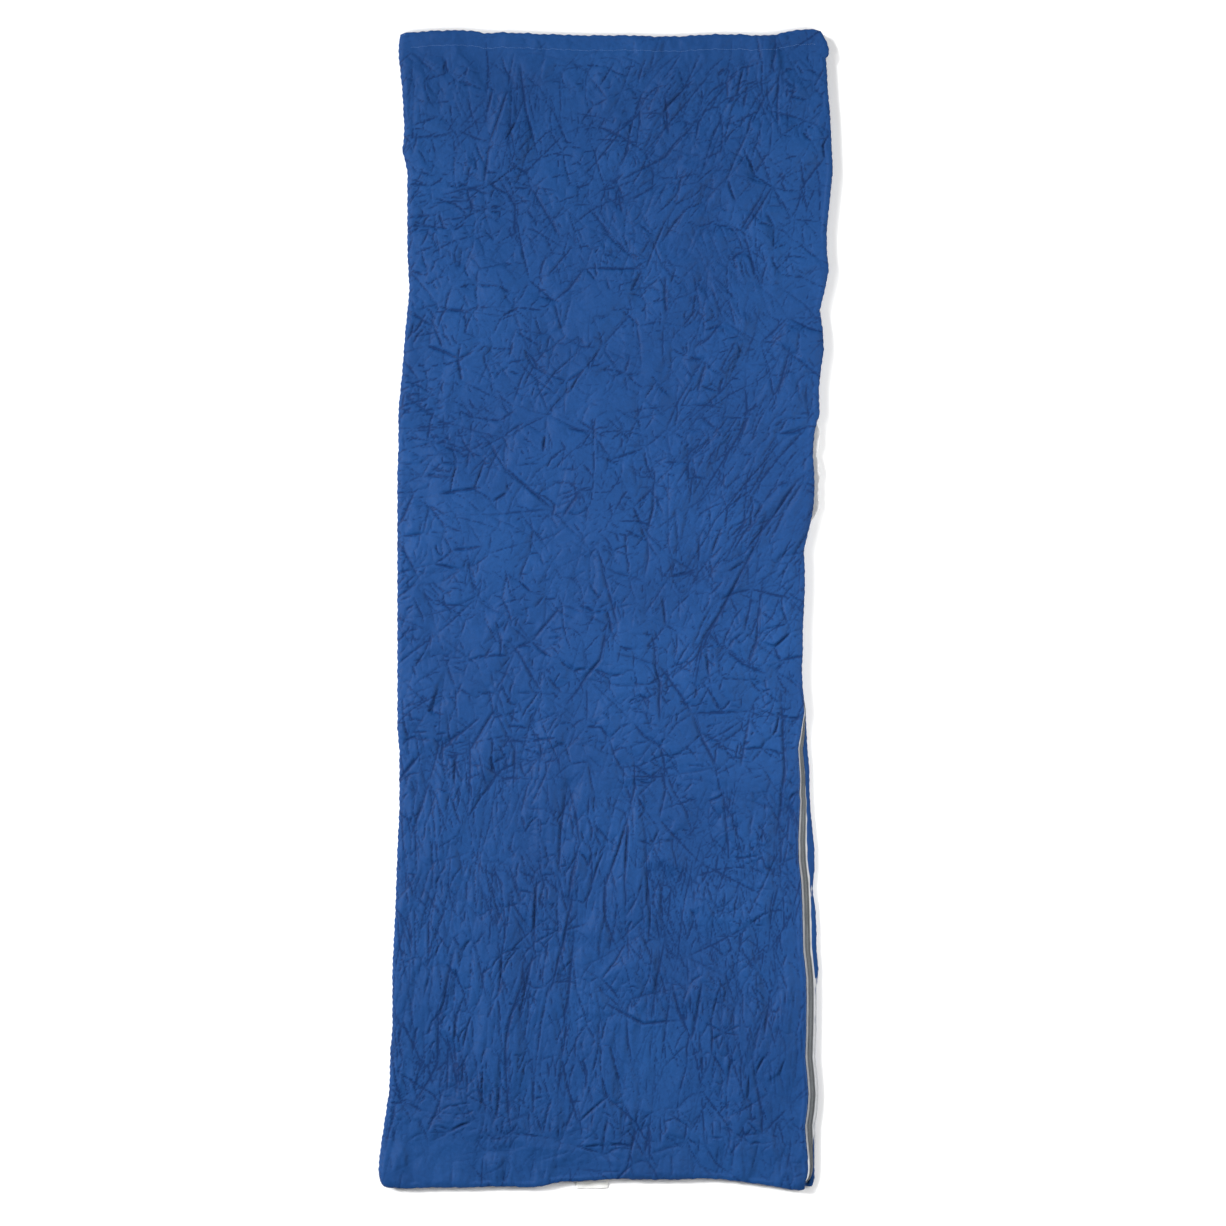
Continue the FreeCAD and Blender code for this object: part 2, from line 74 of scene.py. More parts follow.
CREASES = [
    [(-197.7, 742.4), (-167.9, 692.9), (-168.9, 637.9)], [(-140.8, 725.9), (-88.1, 635.4)], [(7.1, 727.7), (16.3, 683.1)],
    [(12.2, 738.1), (89.1, 780.4), (124.7, 823.8)], [(87.7, 890.4), (93.8, 818.3)], [(258.4, 718.8), (221.3, 656.4)],
    [(33.4, 547.5), (51.9, 585.5)], [(91.6, 575.7), (94.1, 506.9)], [(163.9, 430.4), (149.0, 376.9)],
    [(308.0, 457.9), (288.4, 373.4)], [(-50.1, 204.1), (-80.5, 159.0)],
    [(271.9, 175.4), (257.1, 123.6), (235.2, 80.3), (188.2, -11.4), (163.1, -66.8), (150.1, -135.7)],
    [(268.1, 63.5), (261.8, 20.4), (257.4, -48.4), (240.9, -100.2)],
    [(74.9, -30.0), (84.4, -102.1), (91.5, -124.4), (92.4, -196.6)], [(203.3, 14.6), (166.2, -44.4), (146.5, -118.6)],
    [(0.8, -18.9), (-12.2, -86.1), (-73.1, -167.7)], [(-156.6, -227.2), (-159.1, -311.5)],
    [(299.7, -127.0), (303.8, -185.5), (306.3, -242.2), (303.6, -305.9), (292.7, -400.6)],
    [(-44.4, -404.7), (-63.7, -509.9)], [(-54.0, -465.0), (-68.2, -570.1), (-94.5, -665.1)],
    [(-136.7, -591.6), (-139.5, -645.0), (-164.3, -729.6), (-163.0, -829.3), (-153.2, -930.7)],
    [(-253.9, -577.6), (-283.3, -705.2), (-284.0, -784.4), (-329.5, -864.0)],
    [(-271.0, -725.7), (-263.8, -751.4), (-247.3, -835.5)], [(0.2, -674.2), (69.4, -711.2), (133.0, -705.3)]]

W0, H0 = 731.0, 1985.0
rng = np.random.default_rng(41)


def table(pts, by):
    a = np.array(pts, float)
    a = a[np.argsort(a[:, 0 if by == "x" else 1], kind="stable")]
    return (lambda q: np.interp(q, a[:, 0], a[:, 1])) if by == "x" else (lambda q: np.interp(q, a[:, 1], a[:, 0]))


def wobble(seed, amp, waves):
    r = np.random.default_rng(seed)
    parts = [(2 * math.pi / w, r.uniform(0, 6.28), amp * r.uniform(0.5, 1.0)) for w in waves for _ in (0, 1)]
    return lambda q: sum(a * np.sin(k * q + p) for k, p, a in parts)


lx0, fy0, my0, rx0, zx0 = table(LEFT, "y"), table(FOOT, "x"), table(MOUTH, "x"), table(RIGHT, "y"), table(ZIP, "y")
wl, wr, wf, wm = wobble(1, 0.45, (31, 17, 11)), wobble(2, 0.35, (37, 19, 12)), wobble(3, 0.4, (33, 21, 13)), wobble(4, 0.35, (41, 23, 14))


def smooth01(t):
    t = np.clip(t, 0, 1)
    return t * t * (3 - 2 * t)


def upright(y):
    return smooth01((np.asarray(y, float) + 238) / 92)


def zip_angle(y):      # how far the zip is turned on its edge: 90 stands upright, 0 lies face up
    y = np.asarray(y, float)
    return np.radians(13 + 22 * smooth01((y + 420) / 180) + 55 * upright(y) + 34 * smooth01((-885 - y) / 75))


def zip_half(y):
    return 7.8 - 1.8 * smooth01((np.asarray(y, float) + 420) / 180)


def zip_mid(y):
    return 12.9 - 1.9 * upright(y) - 0.7 * smooth01((-885 - np.asarray(y, float)) / 75)


def outer_x(y):
    return rx0(y) + wr(y)


def zip_x(y):
    y = np.asarray(y, float)
    t = smooth01((y + 150) / 40)
    return (1 - t) * zx0(y) + t * (outer_x(y) - 6.0)


def over_x(y):         # right edge of the over quilt's shell
    y = np.asarray(y, float)
    t = smooth01((y + 165) / 25)
    z = zip_x(y) - zip_half(y) * np.cos(zip_angle(y)) + 0.35 * wr(y)
    low = smooth01((-955 - y) / 35)
    z = z + low * (351.5 - z)
    return (1 - t) * z + t * outer_x(y)


def under_x(y):        # where the under quilt's shell meets the zip
    y = np.asarray(y, float)
    t = smooth01((y + 165) / 25)
    z = zip_x(y) + zip_half(y) * np.cos(zip_angle(y))
    z = np.minimum(z, outer_x(y) - 1.2)
    low = smooth01((-940 - y) / 30)
    t = np.maximum(t, low)
    return (1 - t) * z + t * (outer_x(y) - 4.5)


def round_corner(X, Y, r=24.0, cx=329.0, cy=-957.0):
    """Rounds a lining's or pad's corner inside the zip's corner."""
    dx, dy = np.maximum(X - cx, 0), np.minimum(Y - cy, 0)
    d = np.hypot(dx, dy)
    f = np.where((dx > 0) & (dy < 0) & (d > r), r / np.maximum(d, 1e-6), 1.0)
    return np.where(f < 1, cx + dx * f, X), np.where(f < 1, cy + dy * f, Y)


def coons(u, v, right, br, tr, inset=(0, 0, 0, 0)):
    """inset is left, right, foot, mouth."""
    bl, tl = np.array(LEFT[0]), np.array(LEFT[-1])
    br, tr = np.array(br, float), np.array(tr, float)
    fx = bl[0] + (br[0] - bl[0]) * u
    mx = tl[0] + (tr[0] - tl[0]) * u
    ly = bl[1] + (tl[1] - bl[1]) * v
    ry = br[1] + (tr[1] - br[1]) * v
    edge = np.minimum(1, np.minimum(u, 1 - u) * 30)
    fyy = fy0(np.clip(fx, -377.8, 351.5)) + (br[1] + 991.5) * smooth01((fx - 300) / 60) + wf(fx) * edge
    myy = my0(mx) + wm(mx) * edge
    edge = np.minimum(1, np.minimum(v, 1 - v) * 60)
    lxx = lx0(ly) + wl(ly) * edge
    rxx = right(ry)
    X = (1 - v) * fx + v * mx + (1 - u) * lxx + u * rxx - ((1 - u) * (1 - v) * bl[0] + u * (1 - v) * br[0] + (1 - u) * v * tl[0] + u * v * tr[0])
    Y = (1 - v) * fyy + v * myy + (1 - u) * ly + u * ry - ((1 - u) * (1 - v) * bl[1] + u * (1 - v) * br[1] + (1 - u) * v * tl[1] + u * v * tr[1])
    X = X + inset[0] * (1 - u) - inset[1] * u
    Y = Y + inset[2] * (1 - v) - inset[3] * v
    return X, Y


# ---------------------------------------------------------------- crumpled cloth, as a height raster
PX = 1.6
X0, Y0 = -402.0, -1012.0
NX, NY = int(804 / PX) + 1, int(2024 / PX) + 1
gx, gy = np.meshgrid(X0 + PX * np.arange(NX), Y0 + PX * np.arange(NY))


def blur(a, s):
    r = max(1, int(3 * s))
    k = np.exp(-0.5 * (np.arange(-r, r + 1) / s) ** 2)
    k /= k.sum()
    p = np.pad(a, ((r, r), (0, 0)), mode="edge")
    a = sum(k[i] * p[i:i + a.shape[0]] for i in range(2 * r + 1))
    p = np.pad(a, ((0, 0), (r, r)), mode="edge")
    return sum(k[i] * p[:, i:i + a.shape[1]] for i in range(2 * r + 1))


def soft_noise(seed, cell, stretch=1.0):
    r = np.random.default_rng(seed)
    nx, ny = int(804 / cell) + 4, int(2024 / (cell * stretch)) + 4
    g = r.normal(size=(ny, nx))
    fx, fy = (gx - X0) / cell + 1, (gy - Y0) / (cell * stretch) + 1
    ix, iy = fx.astype(int), fy.astype(int)
    tx, ty = smooth01(fx - ix), smooth01(fy - iy)
    return (g[iy, ix] * (1 - tx) + g[iy, ix + 1] * tx) * (1 - ty) + (g[iy + 1, ix] * (1 - tx) + g[iy + 1, ix + 1] * tx) * ty


def gauss(cx, cy, sx, sy):
    return np.exp(-((gx - cx) / sx) ** 2 - ((gy - cy) / sy) ** 2)


def facets(seed, spacing, angle, stretch, amp, mask):
    """Flat facets between random folds, longest along angle, and the list of their valley folds."""
    r = np.random.default_rng(seed)
    ca, sa = math.cos(math.radians(angle)), math.sin(math.radians(angle))
    reach_a, reach_b = 1130 / stretch, 1130.0
    sp = spacing / math.sqrt(stretch)
    na, nb = int(2 * reach_a / sp) + 1, int(2 * reach_b / sp) + 1
    aa, bb = np.meshgrid(np.arange(na) * sp - reach_a, np.arange(nb) * sp - reach_b)
    aa = aa + r.uniform(-0.48, 0.48, aa.shape) * sp
    bb = bb + r.uniform(-0.48, 0.48, bb.shape) * sp
    px = aa * stretch * ca - bb * sa
    py = aa * stretch * sa + bb * ca
    ok = (np.abs(px) < 402 + 2 * spacing * stretch) & (np.abs(py) < 1012 + 2 * spacing * stretch)
    a, b, px, py = aa[ok], bb[ok], px[ok], py[ok]
    kx = np.clip(((px - X0) / PX).astype(int), 0, NX - 1)
    ky = np.clip(((py - Y0) / PX).astype(int), 0, NY - 1)
    near = mask[ky, kx] > 0.02
    a, b, px, py = a[near], b[near], px[near], py[near]
    vs, es, fs, *_ = delaunay_2d_cdt([Vector((float(p), float(q))) for p, q in zip(a, b)], [], [], 0, 1e-6)
    co = np.array([(v.x, v.y) for v in vs])
    X = co[:, 0] * stretch * ca - co[:, 1] * sa
    Y = co[:, 0] * stretch * sa + co[:, 1] * ca
    h = r.normal(size=len(co)) * amp
    out = np.zeros((NY, NX))
    tri = np.array([f[:3] for f in fs if len(f) == 3])
    slopes = {}
    edge_mid = {}
    for t in tri:
        x, y, z = X[t], Y[t], h[t]
        i0, i1 = max(0, int((x.min() - X0) / PX)), min(NX - 1, int((x.max() - X0) / PX) + 1)
        j0, j1 = max(0, int((y.min() - Y0) / PX)), min(NY - 1, int((y.max() - Y0) / PX) + 1)
        d = (x[1] - x[0]) * (y[2] - y[0]) - (x[2] - x[0]) * (y[1] - y[0])
        if abs(d) < 1e-6:
            continue
        gxx = ((z[1] - z[0]) * (y[2] - y[0]) - (z[2] - z[0]) * (y[1] - y[0])) / d
        gyy = ((z[2] - z[0]) * (x[1] - x[0]) - (z[1] - z[0]) * (x[2] - x[0])) / d
        cx, cy = x.mean(), y.mean()
        for p, q in ((t[0], t[1]), (t[1], t[2]), (t[2], t[0])):
            k = (min(p, q), max(p, q))
            ex, ey = X[k[1]] - X[k[0]], Y[k[1]] - Y[k[0]]
            L = math.hypot(ex, ey) + 1e-9
            nx, ny = -ey / L, ex / L
            side = 1 if (cx - X[k[0]]) * nx + (cy - Y[k[0]]) * ny > 0 else -1
            slopes[k] = slopes.get(k, 0) + side * (gxx * nx + gyy * ny)
        if i1 <= i0 or j1 <= j0:
            continue
        sx, sy = gx[j0:j1 + 1, i0:i1 + 1], gy[j0:j1 + 1, i0:i1 + 1]
        l1 = ((x[1] - sx) * (y[2] - sy) - (x[2] - sx) * (y[1] - sy)) / d
        l2 = ((x[2] - sx) * (y[0] - sy) - (x[0] - sx) * (y[2] - sy)) / d
        m = (l1 >= -1e-6) & (l2 >= -1e-6) & (l1 + l2 <= 1 + 1e-6)
        out[j0:j1 + 1, i0:i1 + 1][m] = (l1 * z[0] + l2 * z[1] + (1 - l1 - l2) * z[2])[m]
    valleys = [(k, s) for k, s in slopes.items() if s > 0]
    return out, X, Y, valleys


valley = np.zeros((NY, NX))
# depth of narrow crease lines, used only to paint shade into the shell's colour
crease_shade_depth = np.zeros((NY, NX))
lips = np.zeros((NY, NX))


def carve(pts, depth, width, lip=0.25):
    """A sharp valley along a kinked line, tapered at its ends, with low raised lips."""
    pts = np.array(pts, float)
    seg = np.hypot(*np.diff(pts, axis=0).T)
    total = seg.sum() + 1e-9
    pad = 5 * width
    i0, i1 = int((pts[:, 0].min() - pad - X0) / PX), int((pts[:, 0].max() + pad - X0) / PX) + 1
    j0, j1 = int((pts[:, 1].min() - pad - Y0) / PX), int((pts[:, 1].max() + pad - Y0) / PX) + 1
    i0, j0, i1, j1 = max(0, i0), max(0, j0), min(NX - 1, i1), min(NY - 1, j1)
    if i1 <= i0 or j1 <= j0:
        return
    sx, sy = gx[j0:j1 + 1, i0:i1 + 1], gy[j0:j1 + 1, i0:i1 + 1]
    best = np.full(sx.shape, 1e9)
    along = np.zeros(sx.shape)
    s0 = 0.0
    for (ax, ay), (bx, by), L in zip(pts[:-1], pts[1:], seg):
        t = np.clip(((sx - ax) * (bx - ax) + (sy - ay) * (by - ay)) / (L * L + 1e-9), 0, 1)
        dd = np.hypot(sx - ax - t * (bx - ax), sy - ay - t * (by - ay))
        m = dd < best
        best[m] = dd[m]
        along[m] = (s0 + t * L)[m] / total
        s0 += L
    taper = np.sqrt(np.clip(1 - (2 * along - 1) ** 2, 0, 1)) ** 1.2
    v = depth * taper * np.exp(-np.abs(best / width) ** 1.35)
    reg = valley[j0:j1 + 1, i0:i1 + 1]
    np.maximum(reg, v, out=reg)
    # a narrower copy of the valley, kept only for the painted crease shade in the shell's colour
    reg = crease_shade_depth[j0:j1 + 1, i0:i1 + 1]
    np.maximum(reg, depth * taper * np.exp(-(best / (0.62 * width)) ** 2), out=reg)
    l = lip * depth * taper * np.exp(-((best - 2.3 * width) / (1.3 * width)) ** 2)
    reg = lips[j0:j1 + 1, i0:i1 + 1]
    np.maximum(reg, l, out=reg)


def kinked(r, x, y, angle, length, kinks=3, spread=16):
    n = kinks + 1
    pts = [(x, y)]
    a = angle
    for _ in range(n):
        a += r.normal() * spread
        pts.append((pts[-1][0] + length / n * math.cos(math.radians(a)), pts[-1][1] + length / n * math.sin(math.radians(a))))
    m = np.array(pts)
    return m - m.mean(0) + (x, y)


# where the folds run which way: (angle, stretch, mask)
vert = smooth01((-120 - gy) / 260) + 0.8 * gauss(150, 120, 60, 300) + 0.6 * gauss(-300, 620, 80, 260) + 0.5 * gauss(0, 880, 420, 90)
diag = 1.6 * gauss(240, 250, 170, 330) + 1.0 * gauss(120, 830, 260, 150) + 0.6 * gauss(-120, 440, 130, 160)
anti = 1.0 * gauss(-40, -560, 300, 260) + 0.9 * gauss(120, 560, 260, 170) + 0.6 * gauss(-200, 60, 150, 180)
flat = 1.4 * gauss(-320, 270, 90, 130) + 1.3 * gauss(-310, 700, 90, 90) + 0.9 * gauss(0, -930, 420, 60) + 0.7 * gauss(40, -260, 230, 60) + 0.8 * gauss(0, 960, 420, 40)
any_ = 0.75 + 0.5 * gauss(-60, 560, 300, 300) + 0.4 * gauss(-100, 0, 300, 250)
masks = [np.clip(m + 0.25 * soft_noise(50 + i, 130), 0, None) ** 5 for i, m in enumerate((vert, diag, anti, flat, any_))]
tot = sum(masks) + 1e-6
masks = [blur(m / tot, 11) for m in masks]
tot = np.sqrt(sum(m * m for m in masks))
masks = [m / tot for m in masks]
ways = [(90, 3.0), (58, 2.4), (118, 2.6), (6, 2.2), (70, 1.15)]

calm = np.clip(1 - 0.75 * smooth01((gy - 925) / 30) - 0.55 * smooth01((-900 - gy) / 40) - 0.5 * gauss(-300, -925, 70, 55), 0.2, 1)
busy = np.clip(0.85 + 0.35 * soft_noise(91, 90), 0.4, 1.5) * calm

height = np.zeros((NY, NX))
levels = [(66, 2.9, 3.6, 2.0), (30, 2.1, 3.2, 1.6), (14.5, 1.0, 2.0, 1.25)]
jobs = []
for w, ((angle, stretch), mask) in enumerate(zip(ways, masks)):
    for k, (spacing, amp, deep, wide) in enumerate(levels):
        if k == 0 and w not in (0, 1, 4):
            continue
        f, X, Y, vl = facets(100 + 10 * w + k, spacing, angle, stretch, amp, mask)
        height += f * mask * (1.25 if k == 0 else 1.0)
        r = np.random.default_rng(300 + 10 * w + k)
        typ = np.median([s for _, s in vl]) + 1e-9
        for (p, q), s in vl:
            mx_, my_ = (X[p] + X[q]) / 2, (Y[p] + Y[q]) / 2
            if abs(mx_) > 400 or abs(my_) > 1010:
                continue
            ii, jj = int((mx_ - X0) / PX), int((my_ - Y0) / PX)
            wgt = mask[jj, ii] * busy[jj, ii]
            if wgt < 0.22 or r.random() > (0.85, 0.7, 0.6)[k]:
                continue
            dep = deep * min(1.8, 0.35 + 0.5 * s / typ) * min(1, 1.5 * wgt) * r.uniform(0.5, 1.25)
            jobs.append((np.array([(X[p], Y[p]), ((X[p] + X[q]) / 2 + r.normal() * spacing * 0.05, (Y[p] + Y[q]) / 2 + r.normal() * spacing * 0.05), (X[q], Y[q])]), dep, wide * r.uniform(0.75, 1.2)))

# loose creases, each with a direction from the masks
r = np.random.default_rng(7)
for _ in range(3600):
    x, y = r.uniform(-372, 360), r.uniform(-985, 985)
    ii, jj = int((x - X0) / PX), int((y - Y0) / PX)
    w = np.array([m[jj, ii] for m in masks])
    w = w / w.sum()
    k = int(r.choice(5, p=w))
    angle = (90, 58, 118, 6, r.uniform(0, 180))[k] + r.normal() * 13
    length = r.lognormal(3.45, 0.5) * (1.5 if k in (0, 1, 2) else 0.9)
    if r.random() < 0.45:
        length *= 0.55
    elif r.random() < 0.12:
        length *= 2.4
    jobs.append((kinked(r, x, y, angle, min(length, 190), 3, 11), busy[jj, ii] * r.uniform(0.5, 1.4) ** 1.6 * 2.9, r.uniform(1.0, 1.7)))
for c in CREASES:
    pts = [c[0]]
    for a, b in zip(c[:-1], c[1:]):
        n = max(1, int(math.hypot(b[0] - a[0], b[1] - a[1]) / 28))
        for i in range(1, n + 1):
            t = i / n
            j = 0 if i == n else 1.6
            pts.append((a[0] + (b[0] - a[0]) * t + r.normal() * j, a[1] + (b[1] - a[1]) * t + r.normal() * j))
    jobs.append((np.array(pts), 4.8, 2.2))
    jobs.append((np.array(pts) + (4.2, 1.0), 1.8, 1.5))
for sx_, sy_ in STARS:
    n = int(r.integers(6, 9))
    a0 = r.uniform(0, 360)
    for i in range(n):
        a = a0 + 360 * i / n + r.normal() * 13
        L = r.uniform(18, 46)
        p = kinked(r, 0, 0, a, L, 2, 10)
        p = p - p[0] + (sx_, sy_)
        jobs.append((p, r.uniform(2.2, 3.8), r.uniform(1.4, 2.0)))
for pts, dep, wid in jobs:
    carve(pts, dep, wid)
for sx_, sy_ in STARS:
    height -= 1.6 * np.exp(-((gx - sx_) ** 2 + (gy - sy_) ** 2) / 14 ** 2)


def blown_pad():
    """The batting's loft: a thin closed pad blown up by cloth simulation; gives its top surface on a regular grid, in millimetres."""
    n, m, cell = 38, 100, 19.5
    xs, ys = -354 + cell * 0.97 * np.arange(n), -974 + cell * np.arange(m)
    U, V = np.meshgrid(xs, ys)
    i = np.arange(n * m).reshape(m, n)
    q = np.stack([i[:-1, :-1], i[:-1, 1:], i[1:, 1:], i[1:, :-1]], -1).reshape(-1, 4)
    loop = np.concatenate([i[0, :], i[1:, -1], i[-1, -2::-1], i[-2:0:-1, 0]])
    remap = np.arange(n * m) + n * m
    remap[loop] = loop
    inner = np.setdiff1d(np.arange(n * m), loop)
    jit = np.random.default_rng(5).normal(size=(m, n)) * 0.4
    top = np.stack([U, V, 2.0 + jit], -1).reshape(-1, 3)
    top[loop, 2] = 0
    low = np.stack([U, V, -2.0 + jit], -1).reshape(-1, 3)
    newid = np.full(2 * n * m, -1)
    newid[:n * m] = np.arange(n * m)
    newid[n * m + inner] = n * m + np.arange(len(inner))
    co = np.concatenate([top, low[inner]]) * MM
    quads = np.concatenate([q, newid[remap[q[:, ::-1]]]])
    me = bpy.data.meshes.new("loft_work")
    me.from_pydata(co.tolist(), [], quads.tolist())
    o = bpy.data.objects.new("loft_work", me)
    bpy.context.scene.collection.objects.link(o)
    c = o.modifiers.new("Cloth", "CLOTH")
    c.settings.quality = 4
    c.settings.mass = 0.12
    c.settings.tension_stiffness = c.settings.compression_stiffness = 18
    c.settings.shear_stiffness = 6
    c.settings.bending_stiffness = 0.6
    c.settings.use_pressure = True
    c.settings.uniform_pressure_force = 4
    c.settings.effector_weights.gravity = 0
    c.collision_settings.use_collision = False
    sc = bpy.context.scene
    for f in range(1, 21):
        sc.frame_set(f)
    ev = o.evaluated_get(bpy.context.evaluated_depsgraph_get())
    out = np.zeros(len(ev.data.vertices) * 3)
    ev.data.vertices.foreach_get("co", out)
    z = out.reshape(-1, 3)[:n * m, 2].reshape(m, n) / MM
    sc.frame_set(1)
    bpy.data.objects.remove(o)
    bpy.data.meshes.remove(me)
    print("LOFT", z.min(), z.max(), z.std())
    return xs, ys, z


lx, ly_, lz = blown_pad()
loft = np.clip(lz, 0, np.percentile(lz, 97))
loft = loft / max(loft.max(), 1e-6)
fx = np.clip((gx - lx[0]) / (lx[1] - lx[0]), 0, len(lx) - 1.001); fy = np.clip((gy - ly_[0]) / (ly_[1] - ly_[0]), 0, len(ly_) - 1.001)
ix, iy = fx.astype(int), fy.astype(int)
tx, ty = smooth01(fx - ix), smooth01(fy - iy)
loft = (loft[iy, ix] * (1 - tx) + loft[iy, ix + 1] * tx) * (1 - ty) + (loft[iy + 1, ix] * (1 - tx) + loft[iy + 1, ix + 1] * tx) * ty
height += 3.0 * (loft - loft.mean())
height += 0.9 * soft_noise(60, 150) + 0.3 * soft_noise(61, 60, 1.5)
height = blur(height, 0.55)
height = height + lips - valley
height = blur(height, 0.42)
height -= 0.9 * np.exp(-((gy - (my0(gx) - 26)) / 1.6) ** 2)            # the hem's stitched line
height += 0.5 * smooth01((gy - (my0(gx) - 25)) / 3)
height = np.where(height < 0, -4.3 * np.tanh(-height / 5.2), 5.5 * np.tanh(height / 6.5))
shell_low = height.copy()
for ax in (0, 1):
    a = shell_low
    for k in range(1, 8):
        shell_low = np.minimum(shell_low, np.minimum(np.roll(a, k, ax), np.roll(a, -k, ax)))
TOP = 20.2


def relief(x, y):
    fx, fy = np.clip((x - X0) / PX, 0, NX - 1.001), np.clip((y - Y0) / PX, 0, NY - 1.001)
    ix, iy = fx.astype(int), fy.astype(int)
    tx, ty = fx - ix, fy - iy
    return (height[iy, ix] * (1 - tx) + height[iy, ix + 1] * tx) * (1 - ty) + (height[iy + 1, ix] * (1 - tx) + height[iy + 1, ix + 1] * tx) * ty


def ease(d, r):
    return np.sqrt(np.clip(1 - (1 - np.clip(d, 0, r) / r) ** 2, 0, 1))


# ---------------------------------------------------------------- mesh helpers
def mesh_grid(name, X, Y, Z, flip=False, smooth=True):
    nr, nc = X.shape
    co = np.stack([X, Y, Z], -1).reshape(-1, 3) * MM
    i = np.arange(nr * nc).reshape(nr, nc)
    q = np.stack([i[:-1, :-1], i[:-1, 1:], i[1:, 1:], i[1:, :-1]], -1).reshape(-1, 4)
    if flip:
        q = q[:, ::-1]
    return mesh_raw(name, co, q, smooth)


def mesh_raw(name, co, quads, smooth=True):
    me = bpy.data.meshes.new(name)
    me.vertices.add(len(co))
    me.vertices.foreach_set("co", np.ascontiguousarray(co, np.float32).ravel())
    k = quads.shape[1]
    me.loops.add(quads.size)
    me.loops.foreach_set("vertex_index", np.ascontiguousarray(quads, np.int32).ravel())
    me.polygons.add(len(quads))
    me.polygons.foreach_set("loop_start", np.arange(0, quads.size, k, dtype=np.int32))
    me.update(calc_edges=True)
    me.validate()
    if smooth:
        me.shade_smooth()
    o = bpy.data.objects.new(name, me)
    bpy.context.scene.collection.objects.link(o)
    return o


def steps(total, step, ends=(0, 0.7, 1.7, 3.2, 5.2)):
    n = max(2, int(round((total - 2 * ends[-1]) / step)))
    mid = np.linspace(ends[-1], total - ends[-1], n + 1)
    return np.concatenate([ends[:-1], mid, total - np.array(ends[:-1])[::-1]])


SK_O = np.array([1.0, 2.6, 4.6])
SK_F = np.array([0.80, 0.60, 0.50])


def wrapped(name, step, half, mid, top_fn, bottom_fn, right, br, tr, nose, inset=(0, 0, 0, 0), strip=22.0, skirts=True, edge_z=5.5, with_crease_shade=False):
    """One cloth: a strip of the underside, the round fold at the left and the whole upper side, with its other three edges turned in."""
    phi = np.radians(np.arange(-80, 81, 10.0))
    d_bot = np.linspace(strip, nose, max(3, int((strip - nose) / (step * 1.3)) + 1))
    d_nose = nose * (1 - np.cos(phi))
    n = int(round((W0 - nose - 5.2) / step))
    d_top = np.concatenate([np.linspace(nose, W0 - 5.2, n + 1), W0 - np.array([3.2, 1.7, 0.7, 0.0])])
    d = np.concatenate([d_bot, d_nose, d_top])
    side = np.concatenate([-np.ones(len(d_bot)), np.sign(np.round(np.sin(phi), 9)), np.ones(len(d_top))])
    ko, kf = np.zeros(len(d)), np.ones(len(d))
    if skirts:
        d = np.concatenate([d, [W0] * 3]); side = np.concatenate([side, [1] * 3])
        ko = np.concatenate([ko, SK_O]); kf = np.concatenate([kf, SK_F])
    e = steps(H0, step)
    ro, rf = np.zeros(len(e)), np.ones(len(e))
    if skirts:
        e = np.concatenate([[0] * 3, e, [H0] * 3])
        ro = np.concatenate([SK_O[::-1], ro, -SK_O]); rf = np.concatenate([SK_F[::-1], rf, SK_F])
    D, E = np.meshgrid(d, e)
    S = np.broadcast_to(side, D.shape)
    X, Y = coons(D / W0, E / H0, right, br, tr, inset)
    dR, dF, dM = W0 - D, E, H0 - E
    k = ease(dR, 14) * ease(dF, 14) * ease(dM, 10)
    zt = mid + edge_z + (top_fn(X, Y, k) - mid - edge_z) * k
    kb = ease(dF, 10) * ease(dM, 8)
    zb = mid - edge_z + (bottom_fn(X, Y, kb) - mid + edge_z) * kb
    Z = np.where(S > 0, mid + (zt - mid) * ease(D, nose), mid - (mid - zb) * ease(D, nose))
    F = np.minimum(np.broadcast_to(kf, D.shape), rf[:, None])
    Z = mid + (Z - mid) * F
    X = X - np.broadcast_to(ko, D.shape)
    Y = Y + ro[:, None]
    if not skirts:
        X, Y = round_corner(X, Y)
    o = mesh_grid(name, X, Y, Z)
    # vertex attribute fold: how strongly painted shade darkens the shell's colour along each crease, on the upper side
    # only
    if with_crease_shade:
        ii = np.clip(((X - X0) / PX + 0.5).astype(int), 0, NX - 1); jj = np.clip(((Y - Y0) / PX + 0.5).astype(int), 0, NY - 1)
        v = np.where(S > 0, np.clip(crease_shade_depth[jj, ii] / 2.9, 0, 1), 0)
        o.data.attributes.new("fold", "FLOAT", "POINT").data.foreach_set("value", np.ascontiguousarray(v, np.float32).ravel())
    return o


STEP = 2.2
over_br, over_tr = (351.5, -991.5), (354.7, 1000.3)
# the over shell carries the fold attribute for painted crease shade
over_cloth = wrapped("over_shell_cloth", STEP, 11, 11.0,
                     lambda x, y, k: TOP + np.maximum(relief(x, y) * (0.25 + 0.75 * k), -0.7 - 5.2 * np.clip((k - 0.9) / 0.09, 0, 1)),
                     lambda x, y, k: 0.5 + 0 * x, over_x, over_br, over_tr, 11.0, with_crease_shade=True)

# under quilt's shell
r_u = np.random.default_rng(12)
d_flat = np.arange(18, W0 - 14, 6.0)
eu = steps(H0, 6.0, (0, 1.2, 3.0, 5.5, 9.0))
eu_all = np.concatenate([[0] * 3, eu, [H0] * 3])
ro = np.concatenate([SK_O[::-1], np.zeros(len(eu)), -SK_O]); rf = np.concatenate([SK_F[::-1], np.ones(len(eu)), SK_F])
rims = [(-14, .0), (-9, .02), (-5, .12), (-2.2, .33), (-0.6, .62), (0.0, .9), (-0.2, 1.18), (-0.7, 1.42)]
D, E = np.meshgrid(np.concatenate([d_flat, [W0] * (len(rims) + 6)]), eu_all)
X, Y = coons(D / W0, E / H0, outer_x, (364.4, -988.9), (354.7, 1000.3))
kb = ease(E, 10) * ease(H0 - E, 8)
under_wave = blur(soft_noise(71, 24) * 0.5 + soft_noise(72, 60) * 0.5, 1.5)
